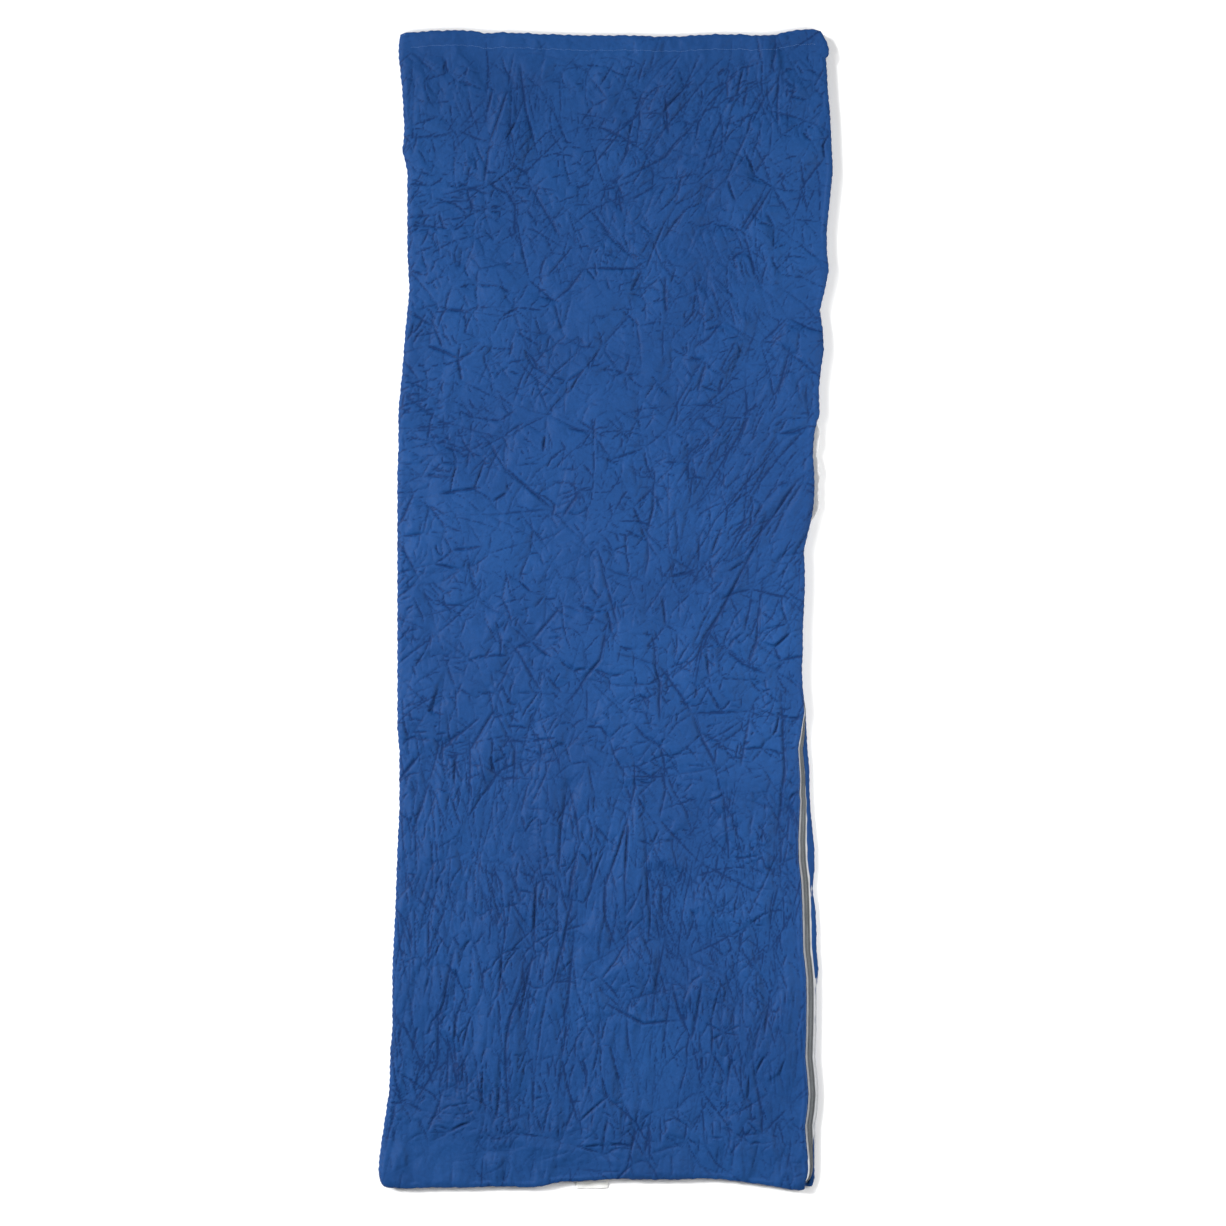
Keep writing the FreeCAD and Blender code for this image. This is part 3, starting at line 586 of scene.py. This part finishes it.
ii = np.clip(((X - X0) / PX).astype(int), 0, NX - 1); jj = np.clip(((Y - Y0) / PX).astype(int), 0, NY - 1)
zb = 0.5 + np.clip(0.55 + 0.8 * under_wave[jj, ii] - 0.25 * valley[jj, ii] * -1, 0, 3)
Z = 5.5 + (zb - 5.5) * kb
nf = len(d_flat)
for k, (off, lift) in enumerate(rims):
    X[:, nf + k] += off
    Z[:, nf + k] = Z[:, nf + k] * (1 - min(1, lift)) + 5.5 * lift
ex = under_x(Y[:, -1])
flatzone = 1 - np.maximum(smooth01((Y[:, -1] + 238) / 92), smooth01((-940 - Y[:, -1]) / 34))
zE = 8.4 + 2.9 * flatzone
for k, t in enumerate((0.2, 0.4, 0.6, 0.8, 1.0)):
    xs = X[:, nf + len(rims) - 1]
    X[:, nf + len(rims) + k] = xs + (ex - xs) * t
    Z[:, nf + len(rims) + k] = 7.8 + (zE - 7.8) * t + 0.6 * math.sin(math.pi * t) * flatzone + 0.35 * relief(X[:, nf + len(rims) + k], Y[:, -1]) * flatzone * (1 - t)
X[:, -1] = ex - 3.0
Z[:, -1] = zE - 1.0
Z = 11 + (Z - 11) * rf[:, None]
Y = Y + ro[:, None]
under_cloth = mesh_grid("under_shell_cloth", X, Y, Z, flip=True)

# linings: one cloth folded inside the shell
lin_wave = blur(0.45 * soft_noise(81, 26) + 0.35 * soft_noise(82, 60), 1.2)


def lin_at(x, y):
    i = np.clip(((x - X0) / PX).astype(int), 0, NX - 1); j = np.clip(((y - Y0) / PX).astype(int), 0, NY - 1)
    return lin_wave[j, i], valley[j, i]


def lin_top(x, y, k):
    w, c = lin_at(x, y)
    return 13.7 + np.clip(0.35 + 0.6 * w + 0.18 * c, 0, 1.0)


def lin_bottom(x, y, k):
    w, c = lin_at(-x, y)
    return 8.2 - np.clip(0.45 + w + 0.25 * c, 0, 1.9)


over_lin = wrapped("over_lining_cloth", 5.2, 2.7, 11.0, lin_top, lin_bottom, over_x, over_br, over_tr, 3.0,
                   inset=(9, 5.2, 5.2, 5.2), strip=14.0, skirts=False, edge_z=2.5)
D, E = np.meshgrid(np.linspace(12, W0, 140), steps(H0, 5.4))
X, Y = coons(D / W0, E / H0, outer_x, (364.4, -988.9), (354.7, 1000.3), (9, 5.2, 5.2, 5.2))
k = ease(W0 - D, 14) * ease(E, 14) * ease(H0 - E, 10)
Z = 8.5 + (lin_bottom(X, Y, k) - 8.5) * k
# the lining slips out past the shell along the upper right edge
tongue = smooth01((Y - 138) / 40) * smooth01((342 - Y) / 34) * smooth01((D - (W0 - 16)) / 14)
X = X + tongue * (13.5 + 1.6 * np.sin(Y / 9.0) + 1.2 * np.sin(Y / 4.1 + 1))
Z = Z + tongue * (3.0 + 0.9 * np.sin(Y / 6.3) + 0.5 * np.sin(Y / 2.9))
X, Y = round_corner(X, Y)
under_lin = mesh_grid("under_lining_cloth", X, Y, Z)


# batting: closed pads between shell and lining
def pad(name, lo, hi, right, br, edge):
    n, m = 92, 248
    u = np.linspace(0, 1, n); v = np.linspace(0, 1, m)
    U, V = np.meshgrid(u, v)
    X, Y = coons(U, V, right, br, over_tr, (19, 11, 11, 11))
    X, Y = round_corner(X, Y, 20.0)
    k = ease(U * W0, 9) * ease((1 - U) * W0, 9) * ease(V * H0, 9) * ease((1 - V) * H0, 9)
    top, bot = edge + (hi(X, Y) - edge) * k, edge + (lo(X, Y) - edge) * k
    i = np.arange(n * m).reshape(m, n)
    q = np.stack([i[:-1, :-1], i[:-1, 1:], i[1:, 1:], i[1:, :-1]], -1).reshape(-1, 4)
    q2 = q[:, ::-1].copy()
    loop = np.concatenate([i[0, :], i[1:, -1], i[-1, -2::-1], i[-2:0:-1, 0]])
    remap = np.arange(n * m) + n * m
    remap[loop] = loop
    q2 = remap[q2]
    co = np.concatenate([np.stack([X, Y, top], -1).reshape(-1, 3), np.stack([X, Y, bot], -1).reshape(-1, 3)]) * MM
    return mesh_raw(name, co, np.concatenate([q, q2]))


def pad_top(x, y):
    i = np.clip(((x - X0) / PX).astype(int), 0, NX - 1); j = np.clip(((y - Y0) / PX).astype(int), 0, NY - 1)
    return np.maximum(TOP - 0.8 + np.minimum(shell_low[j, i], -0.6), 15.0)


over_pad = pad("over_batting", lambda x, y: 14.8 + 0 * x, pad_top, over_x, over_br, 14.9)
under_pad = pad("under_batting", lambda x, y: 2.4 + 0 * x, lambda x, y: 5.6 + 0 * x, outer_x, (364.4, -988.9), 4.5)

# ---------------------------------------------------------------- zip
ya = np.arange(972.0, -950.0, -2.0)
side = np.stack([zip_x(ya), ya], -1)
foot_x = np.arange(325.0, -352.0, -2.0)
foot = np.stack([foot_x, fy0(foot_x) + wf(foot_x) + 6.0], -1)
p0, p1 = side[-1], foot[0]
c0, c1 = np.array([p0[0] + 0.8, p0[1] - 25]), np.array([p1[0] + 32, p1[1] - 0.6])
t = np.linspace(0, 1, 34)[1:-1, None]
arc = (1 - t) ** 3 * p0 + 3 * (1 - t) ** 2 * t * c0 + 3 * (1 - t) * t * t * c1 + t ** 3 * p1
path = np.concatenate([side, arc, foot])
for _ in range(3):
    path[1:-1] = (path[:-2] + 2 * path[1:-1] + path[2:]) / 4
seg = np.hypot(*np.diff(path, axis=0).T)
S = np.concatenate([[0], np.cumsum(seg)])
LEN = S[-1]
n_side, n_arc = len(side), len(arc)
turn = np.clip((np.arange(len(path)) - n_side + 1) / (0.95 * n_arc), 0, 1)
turn = turn * turn * (3 - 2 * turn)
yl = np.maximum(path[:, 1], -950.0)
angle_p = zip_angle(yl) * (1 - turn) + np.radians(90) * turn
half_p = zip_half(yl) * (1 - turn) + 6.0 * turn
mid_p = zip_mid(yl) * (1 - turn) + 11.0 * turn


def zip_frame(s):
    x, y = np.interp(s, S, path[:, 0]), np.interp(s, S, path[:, 1])
    tx, ty = np.gradient(x, s), np.gradient(y, s)
    L = np.hypot(tx, ty)
    tx, ty = tx / L, ty / L
    nx, ny = -ty, tx          # outward: +X on the side leg, -Y along the foot
    a, h, m = np.interp(s, S, angle_p), np.interp(s, S, half_p), np.interp(s, S, mid_p)
    across = np.stack([nx * np.cos(a), ny * np.cos(a), -np.sin(a)], -1)
    face = np.stack([nx * np.sin(a), ny * np.sin(a), np.cos(a)], -1)
    return np.stack([x, y, m], -1), np.stack([tx, ty, 0 * tx], -1), across, face, h


def tape(name, sign):
    s = np.arange(0, LEN, 2.4)
    c, tdir, ac, fc, h = zip_frame(s)
    wav = 0.25 * np.sin(s / 7.3) + 0.2 * np.sin(s / 4.1 + 2)
    cols = []
    flatness = np.clip(fc[:, 2], 0, 1)
    ws = [(0.17, 0.0), (0.33, 0.0), (0.36, 0.22), (0.42, 0.25), (0.50, 0.05), (0.62, 0.0), (0.70, 0.10), (0.74, 0.32), (0.85, 0.34), (0.96, 0.30), (1.0, 0.0)]
    for w, lift in ws:
        cols.append(c + ac * (sign * w * h)[:, None] + fc * (lift + wav * (0 if w < 0.45 else 0.3 if w < 0.65 else 1.0))[:, None])
    for tk in (1.5, 3.0):
        cols.append(c + ac * (sign * (h + tk * flatness - 1.1 * tk * (1 - flatness)))[:, None] - fc * (0.7 * tk * (1 - 0.5 * flatness))[:, None])
    P = np.stack(cols, 1)
    # position across the tape, which the tape's material turns into painted shadow and shade next to the coil
    edge = np.tile([w for w, _ in ws] + [1.0, 1.0], (len(s), 1))
    if sign < 0:
        P, edge = P[:, ::-1], edge[:, ::-1]
    o = mesh_grid(name, P[..., 0], P[..., 1], P[..., 2], flip=True)
    o.data.attributes.new("tape_across", "FLOAT", "POINT").data.foreach_set("value", np.ascontiguousarray(edge, np.float32).ravel())
    return o


over_tape, under_tape = tape("over_zip_tape_cloth", -1), tape("under_zip_tape_cloth", 1)


def coil(name, sign):
    """The wound coil: one bent bar of nylon per turn."""
    pitch = 1.55
    s = np.arange(0.8 + (pitch / 2 if sign > 0 else 0), LEN - 0.8, pitch)
    c, td, ac, fc, h = zip_frame(s)
    prof = [(3.1, 0.15, 0.42), (2.9, 0.95, 0.46), (1.6, 1.35, 0.44), (0.35, 1.3, 0.46), (-0.45, 1.1, 0.60), (-0.75, 0.7, 0.50)]
    ring = [(1, 0), (0.5, 0.8), (-0.5, 0.8), (-1, 0), (-0.5, -0.8), (0.5, -0.8)]
    n = len(s)
    V = np.zeros((n, len(prof), 6, 3))
    for i, (a, z, w) in enumerate(prof):
        for j, (p, q) in enumerate(ring):
            V[:, i, j] = c + ac * (sign * (a + 0.15 * q * (1 if i in (0, 5) else 0))) + fc * (z + 0.36 * q) + td * (w * p)
    base = np.arange(n)[:, None] * (len(prof) * 6)
    q = []
    for i in range(len(prof) - 1):
        for j in range(6):
            k = (j + 1) % 6
            q.append([i * 6 + j, i * 6 + k, (i + 1) * 6 + k, (i + 1) * 6 + j])
    m = (len(prof) - 1) * 6
    q += [[3, 2, 1, 0], [5, 4, 3, 0], [m, m + 1, m + 2, m + 3], [m, m + 3, m + 4, m + 5]]
    q = np.array(q)
    if sign > 0:
        q = q[:, ::-1]
    Q = (base[:, :, None] + q[None]).reshape(-1, 4)
    return mesh_raw(name, V.reshape(-1, 3) * MM, Q)


over_coil, under_coil = coil("over_zip_teeth", -1), coil("under_zip_teeth", 1)


def stitches(name, P, N, pitch=3.6, length=2.6, rad=0.24):
    """A row of thread stitches along points P, raised along N."""
    P, N = np.asarray(P, float), np.asarray(N, float)
    s = np.concatenate([[0], np.cumsum(np.linalg.norm(np.diff(P, axis=0), axis=1))])
    at = np.arange(pitch, s[-1] - pitch, pitch)
    g = lambda A, q: np.stack([np.interp(q, s, A[:, k]) for k in range(3)], -1)
    c, nn = g(P, at), g(N, at)
    td = g(P, at + 1) - g(P, at - 1)
    td /= np.linalg.norm(td, axis=1)[:, None]
    bb = np.cross(td, nn)
    prof = [(-0.5, -0.5, 0.6), (-0.38, 0.5, 1.0), (0, 0.9, 1.1), (0.38, 0.5, 1.0), (0.5, -0.5, 0.6)]
    V = np.zeros((len(at), 5, 6, 3))
    for i, (a, z, w) in enumerate(prof):
        for j in range(6):
            p, q = math.cos(j * math.pi / 3), math.sin(j * math.pi / 3)
            V[:, i, j] = c + td * (a * length) + nn * (rad * (z + 0.9 * q)) + bb * (rad * w * p)
    q = [[i * 6 + j, i * 6 + (j + 1) % 6, (i + 1) * 6 + (j + 1) % 6, (i + 1) * 6 + j] for i in range(4) for j in range(6)]
    q += [[3, 2, 1, 0], [5, 4, 3, 0], [24, 25, 26, 27], [24, 27, 28, 29]]
    Q = (np.arange(len(at))[:, None, None] * 30 + np.array(q)[None]).reshape(-1, 4)
    return mesh_raw(name, V.reshape(-1, 3) * MM, Q)


def on_top(x, y, up=0.1):
    return TOP + relief(x, y) + up


hx = np.arange(-352.0, 350.0, 2.0)
hy = my0(hx) - 26 + wm(hx)
hem = stitches("mouth_hem_stitches", np.stack([hx, hy, on_top(hx, hy)], -1), np.tile([0, 0, 1.0], (len(hx), 1)))
sy = np.arange(-255.0, -930.0, -2.0)
c, td, ac, fc, h = zip_frame(np.interp(-sy, -path[:len(side), 1], S[:len(side)]))
ox = over_x(sy) - 2.0
zo = 16.5 + (TOP + np.maximum(relief(ox, sy) * (0.25 + 0.75 * ease(2.0, 14)), -0.7) - 16.5) * ease(2.0, 14)
edge_over = stitches("over_zip_edge_stitches", np.stack([ox, sy, zo + 0.05], -1), np.tile([0.5, 0, 0.87], (len(sy), 1)))
tape_row = stitches("tape_stitches", c + ac * (-0.62 * h)[:, None] + fc * 0.15, fc, 2.6, 1.9, 0.16)
tape_row2 = stitches("tape_stitches_under", c + ac * (0.62 * h)[:, None] + fc * 0.15, fc, 2.6, 1.9, 0.16)

# blank care label
lo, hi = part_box("care_label")
a, b = np.meshgrid(np.linspace(lo.x, hi.x, 46) / MM, np.linspace(0, 1, 26))
yy = -974.0 + (-997.4 + 974.0) * b
Z = 7.2 - 5.4 * smooth01((b - 0.15) / 0.75) + 0.7 * np.sin((a + 10) / 7.5) * b ** 2 + 0.35 * np.sin(a / 3.1 + 1) * b
label = mesh_grid("care_label_cloth", a, yy + 0.8 * np.sin(a / 19) * b, Z, flip=True)
sol = label.modifiers.new("thickness", "SOLIDIFY"); sol.thickness = 0.0004; sol.offset = 0
lab_s = stitches("label_stitches", np.stack([np.linspace(lo.x / MM + 2, hi.x / MM - 2, 30), np.full(30, -985.6), np.full(30, 6.0)], -1), np.tile([0, 0, 1.0], (30, 1)), 2.4, 1.8, 0.16)


# ---------------------------------------------------------------- materials
def mat(name):
    m = bpy.data.materials.new(name)
    m.use_nodes = True
    nt = m.node_tree
    nt.nodes.clear()
    out = nt.nodes.new("ShaderNodeOutputMaterial")
    b = nt.nodes.new("ShaderNodeBsdfPrincipled")
    nt.links.new(b.outputs[0], out.inputs[0])
    co = nt.nodes.new("ShaderNodeTexCoord")
    return m, nt, b, co.outputs["Object"]


def node(nt, kind, **kw):
    n = nt.nodes.new(kind)
    for k, v in kw.items():
        if k.startswith("i_"):
            n.inputs[k[2:].replace("_", " ")].default_value = v
        else:
            setattr(n, k, v)
    return n


def noise(nt, co, scale, detail=3, rough=0.55, stretch=None):
    if stretch:
        mp = node(nt, "ShaderNodeMapping")
        mp.inputs["Scale"].default_value = stretch
        nt.links.new(co, mp.inputs["Vector"])
        co = mp.outputs[0]
    n = node(nt, "ShaderNodeTexNoise", i_Scale=scale, i_Detail=detail, i_Roughness=rough)
    nt.links.new(co, n.inputs["Vector"])
    return n.outputs["Fac"]


def ramp(nt, fac, stops):
    n = node(nt, "ShaderNodeValToRGB")
    while len(n.color_ramp.elements) < len(stops):
        n.color_ramp.elements.new(0.5)
    for e, (p, c) in zip(n.color_ramp.elements, stops):
        e.position, e.color = p, (*c, 1) if len(c) == 3 else c
    nt.links.new(fac, n.inputs[0])
    return n.outputs[0]


def math_(nt, op, a, b, clamp=False):
    n = node(nt, "ShaderNodeMath", operation=op, use_clamp=clamp)
    for i, v in enumerate((a, b)):
        if hasattr(v, "is_linked"):
            nt.links.new(v, n.inputs[i])
        else:
            n.inputs[i].default_value = v
    return n.outputs[0]


def mix(nt, fac, a, b, how="MIX"):
    n = node(nt, "ShaderNodeMix", data_type="RGBA", blend_type=how)
    for i, v in ((0, fac), (6, a), (7, b)):
        if hasattr(v, "is_linked"):
            nt.links.new(v, n.inputs[i])
        else:
            n.inputs[i].default_value = v if i == 0 else (*v, 1)
    return n.outputs[2]


def wave(nt, co, scale, axis, distort=0.0, detail_scale=1.0):
    n = node(nt, "ShaderNodeTexWave", wave_type="BANDS", bands_direction=axis)
    n.inputs["Scale"].default_value = scale
    n.inputs["Distortion"].default_value = distort
    n.inputs["Detail Scale"].default_value = detail_scale
    nt.links.new(co, n.inputs["Vector"])
    return n.outputs["Fac"]


def weave(nt, co, pitch):
    s = 0.314 / pitch * 0.5
    return math_(nt, "MULTIPLY", wave(nt, co, s, "X", 0.6), wave(nt, co, s, "Y", 0.6))


def bump(nt, b, height_, strength, dist, before=None):
    n = node(nt, "ShaderNodeBump")
    n.inputs["Strength"].default_value = strength
    n.inputs["Distance"].default_value = dist
    nt.links.new(height_, n.inputs["Height"])
    if before is not None:
        nt.links.new(before, n.inputs["Normal"])
    nt.links.new(n.outputs[0], b.inputs["Normal"])
    return n.outputs[0]


def cloth(name, dark, mid, light, rough, sheen, tint, weave_pitch, micro=1.0, paint_crease_shade=False):
    m, nt, b, co = mat(name)
    big = noise(nt, co, 5.0, 3, 0.5)
    fine = noise(nt, co, 160.0, 4, 0.6)
    wv = weave(nt, co, weave_pitch)
    c = ramp(nt, big, ((0.30, dark), (0.52, mid), (0.72, light)))
    c = mix(nt, 0.10, c, ramp(nt, fine, ((0.35, (0.25,) * 3), (0.65, (0.9,) * 3))), "OVERLAY")
    c = mix(nt, 0.10, c, ramp(nt, wv, ((0.1, (0.3,) * 3), (0.7, (0.75,) * 3))), "OVERLAY")
    if paint_crease_shade:      # creases get painted shade: the fold attribute darkens the base colour towards a deep blue
        at = node(nt, "ShaderNodeAttribute", attribute_name="fold")
        # the deep blue stands in for the shade inside the creases
        c = mix(nt, ramp(nt, at.outputs["Fac"], ((0.05, (0, 0, 0)), (0.75, (0.80,) * 3))), c, (dark[0] * 0.10, dark[1] * 0.36, dark[2] * 0.49))
    nt.links.new(c, b.inputs["Base Color"])
    nt.links.new(ramp(nt, fine, ((0.3, (rough - 0.05,) * 3), (0.7, (rough + 0.06,) * 3))), b.inputs["Roughness"])
    b.inputs["Sheen Weight"].default_value = sheen
    b.inputs["Sheen Roughness"].default_value = 0.35
    b.inputs["Sheen Tint"].default_value = (*tint, 1)
    b.inputs["Specular IOR Level"].default_value = 0.12
    w1 = noise(nt, co, 62.0, 5, 0.62, (1.0, 0.55, 1.0))
    n1 = bump(nt, b, w1, 0.55 * micro, 0.0022)
    n2 = bump(nt, b, fine, 0.35 * micro, 0.0006, n1)
    bump(nt, b, wv, 0.30, 0.00012, n2)
    return m


# the shell's colour gets painted shade along its creases
SHELL = cloth("taffeta_blue", (0.0058, 0.0392, 0.1445), (0.0067, 0.0446, 0.1605), (0.0078, 0.0500, 0.1750), 0.60, 0.02, (0.45, 0.65, 1.0), 0.0006, paint_crease_shade=True)
LINING = cloth("lining_white", (0.47, 0.475, 0.485), (0.52, 0.522, 0.527), (0.56, 0.56, 0.56), 0.75, 0.12, (1, 1, 1), 0.0006)
BATT = cloth("batting_white", (0.74, 0.74, 0.73), (0.82, 0.82, 0.81), (0.88, 0.88, 0.87), 0.95, 0.3, (1, 1, 1), 0.003, 2.2)
LABEL = cloth("label_white", (0.62, 0.62, 0.60), (0.70, 0.70, 0.68), (0.76, 0.76, 0.74), 0.8, 0.1, (1, 1, 1), 0.0005)

TAPE, nt, b, co = mat("zip_tape_grey")
rib = wave(nt, co, 0.314 / 0.0011 * 0.5, "Y", 0.4)
fine = noise(nt, co, 300.0, 4, 0.6)
at = node(nt, "ShaderNodeAttribute", attribute_name="tape_across")
# colour across the tape: a near-black painted shadow where the tape meets the coil, and painted shade darkening the
# tape towards the coil
c = ramp(nt, at.outputs["Fac"], ((0.30, (0.11, 0.115, 0.125)), (0.37, (0.012, 0.013, 0.016)), (0.45, (0.014, 0.015, 0.018)), (0.50, (0.17, 0.18, 0.195)), (0.58, (0.26, 0.27, 0.285)), (0.72, (0.36, 0.37, 0.385)), (1.0, (0.42, 0.43, 0.445))))
c = mix(nt, 0.12, c, ramp(nt, fine, ((0.25, (0.2,) * 3), (0.75, (0.85,) * 3))), "OVERLAY")
c = mix(nt, 0.25, c, ramp(nt, rib, ((0.1, (0.2,) * 3), (0.8, (0.8,) * 3))), "OVERLAY")
nt.links.new(c, b.inputs["Base Color"])
b.inputs["Roughness"].default_value = 0.8
b.inputs["Sheen Weight"].default_value = 0.1
n1 = bump(nt, b, rib, 0.5, 0.0003)
bump(nt, b, fine, 0.3, 0.0003, n1)

COIL, nt, b, co = mat("zip_coil_nylon")
fine = noise(nt, co, 220.0, 3, 0.5)
big = noise(nt, co, 18.0, 2, 0.5)
c = ramp(nt, big, ((0.3, (0.098, 0.108, 0.115)), (0.7, (0.140, 0.152, 0.160))))
c = mix(nt, 0.2, c, ramp(nt, fine, ((0.3, (0.2,) * 3), (0.7, (0.8,) * 3))), "OVERLAY")
nt.links.new(c, b.inputs["Base Color"])
nt.links.new(ramp(nt, fine, ((0.3, (0.34,) * 3), (0.7, (0.50,) * 3))), b.inputs["Roughness"])
bump(nt, b, fine, 0.2, 0.0002)

PLASTIC, nt, b, co = mat("zip_plastic_moulded")
grain = noise(nt, co, 900.0, 4, 0.6)
big = noise(nt, co, 120.0, 3, 0.5)
c = ramp(nt, big, ((0.3, (0.075, 0.082, 0.085)), (0.7, (0.11, 0.12, 0.122))))
nt.links.new(c, b.inputs["Base Color"])
nt.links.new(ramp(nt, grain, ((0.3, (0.42,) * 3), (0.7, (0.58,) * 3))), b.inputs["Roughness"])
bump(nt, b, grain, 0.25, 0.0001)

THREAD, nt, b, co = mat("thread_blue")
ply = wave(nt, co, 0.314 / 0.0007 * 0.5, "DIAGONAL", 1.0)
c = ramp(nt, ply, ((0.1, (0.020, 0.080, 0.25)), (0.8, (0.045, 0.15, 0.40))))
nt.links.new(c, b.inputs["Base Color"])
b.inputs["Roughness"].default_value = 0.6
b.inputs["Sheen Weight"].default_value = 0.3
bump(nt, b, ply, 0.5, 0.0001)

THREAD_G, nt, b, co = mat("thread_grey")
ply = wave(nt, co, 0.314 / 0.0006 * 0.5, "DIAGONAL", 1.0)
c = ramp(nt, ply, ((0.1, (0.16, 0.17, 0.18)), (0.8, (0.30, 0.31, 0.33))))
nt.links.new(c, b.inputs["Base Color"])
b.inputs["Roughness"].default_value = 0.7
bump(nt, b, ply, 0.5, 0.0001)

METAL, nt, b, co = mat("slider_enamel")
geo = node(nt, "ShaderNodeNewGeometry")
speck = noise(nt, co, 700.0, 5, 0.65)
wear = math_(nt, "ADD", geo.outputs["Pointiness"], math_(nt, "MULTIPLY", speck, 0.12))
edge = ramp(nt, wear, ((0.585, (0, 0, 0)), (0.63, (1, 1, 1))))
paint = ramp(nt, noise(nt, co, 60.0, 3, 0.5), ((0.3, (0.012, 0.014, 0.017)), (0.7, (0.022, 0.025, 0.030))))
c = mix(nt, edge, paint, (0.42, 0.42, 0.43))
nt.links.new(c, b.inputs["Base Color"])
nt.links.new(edge, b.inputs["Metallic"])
nt.links.new(ramp(nt, speck, ((0.3, (0.26,) * 3), (0.7, (0.42,) * 3))), b.inputs["Roughness"])
b.inputs["Coat Weight"].default_value = 0.3
bump(nt, b, speck, 0.12, 0.0001)


def wear_mat(o, m):
    o.data.materials.clear()
    o.data.materials.append(m)


for o, m, s in ((over_cloth, SHELL, "shell_fabric"), (under_cloth, SHELL, "shell_fabric"), (over_lin, LINING, "lining_fabric"),
                (under_lin, LINING, "lining_fabric"), (over_pad, BATT, "fill_batting"), (under_pad, BATT, "fill_batting"),
                (over_tape, TAPE, "zip_tape"), (under_tape, TAPE, "zip_tape"), (over_coil, COIL, "zip_coil"),
                (under_coil, COIL, "zip_coil"), (label, LABEL, "label_tape"), (hem, THREAD, "shell_fabric"),
                (edge_over, THREAD, "shell_fabric"), (tape_row, THREAD_G, "zip_tape"), (tape_row2, THREAD_G, "zip_tape"),
                (lab_s, THREAD, "shell_fabric")):
    wear_mat(o, m)
for n, m in (("side_slider_body", METAL), ("side_pull_tab", METAL), ("foot_slider_body", METAL), ("foot_pull_tab", METAL),
             ("under_top_stop", PLASTIC), ("over_top_stop", PLASTIC), ("zip_retainer_box", PLASTIC), ("zip_insertion_pin", PLASTIC)):
    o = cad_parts[n]
    if len(o.material_slots) == 0:
        o.data.materials.append(m)
    for s in o.material_slots:
        s.material = m

# ---------------------------------------------------------------- bodies
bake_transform(over_cloth)
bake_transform(over_lin)
for o in (under_cloth, under_lin, under_pad, under_tape, under_coil, label, lab_s, tape_row2):
    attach(o, "under_quilt")
for o in (over_pad, over_tape, over_coil, hem, edge_over, tape_row):
    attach(o, "over_quilt")
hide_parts("over_shell", "shell_side_fold")
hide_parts("under_shell")
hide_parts("over_lining")
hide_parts("under_lining")
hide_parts("over_fill")
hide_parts("under_fill")
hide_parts("over_zip_tape")
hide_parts("under_zip_tape")
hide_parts("over_zip_coil")
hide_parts("under_zip_coil")
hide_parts("care_label")

# ---------------------------------------------------------------- floor, light, camera
bpy.ops.mesh.primitive_plane_add(size=16, location=(0, 0, -0.0004))
floor = bpy.context.object
floor.name = "studio_floor"
m, nt, b, co = mat("floor_white")
nt.links.new(ramp(nt, noise(nt, co, 0.7, 2, 0.5), ((0.3, (0.93,) * 3), (0.7, (0.95,) * 3))), b.inputs["Base Color"])
b.inputs["Roughness"].default_value = 0.95
b.inputs["Specular IOR Level"].default_value = 0.1
floor.data.materials.append(m)
floor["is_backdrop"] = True


def area(name, loc, size, power, target=(0, 0, 0)):
    l = bpy.data.lights.new(name, "AREA")
    l.shape = "RECTANGLE"
    l.size, l.size_y = size
    l.energy = power
    o = bpy.data.objects.new(name, l)
    bpy.context.scene.collection.objects.link(o)
    o.location = loc
    o.rotation_euler = (Vector(target) - Vector(loc)).to_track_quat("-Z", "Y").to_euler()
    return o


area("key", (-1.55, 0.02, 1.6), (1.0, 1.0), 36, (0.05, 0, 0))
area("fill", (1.5, -0.08, 1.8), (1.4, 1.4), 40)
sun = bpy.data.lights.new("soft_window", "SUN")
sun.energy, sun.angle = 2.9, math.radians(10)
so = bpy.data.objects.new("soft_window", sun)
bpy.context.scene.collection.objects.link(so)
so.location = (-2, 1.2, 2)
so.rotation_euler = Vector((0.78, -0.36, -0.62)).to_track_quat("-Z", "Y").to_euler()
world = bpy.data.worlds.new("studio")
bpy.context.scene.world = world
world.use_nodes = True
bg = world.node_tree.nodes["Background"]
bg.inputs[0].default_value = (1.0, 1.0, 1.0, 1)
bg.inputs[1].default_value = 0.28

cam = bpy.data.cameras.new("camera")
cam.lens, cam.sensor_width = 100, 36
co_ = bpy.data.objects.new("camera", cam)
bpy.context.scene.collection.objects.link(co_)
co_.location = (0.00921, -0.0050, 0.02 + 5.857)
co_.rotation_euler = (0, 0, math.radians(0.7))
bpy.context.scene.camera = co_
bpy.context.scene.view_settings.view_transform = "Standard"

lo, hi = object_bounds()
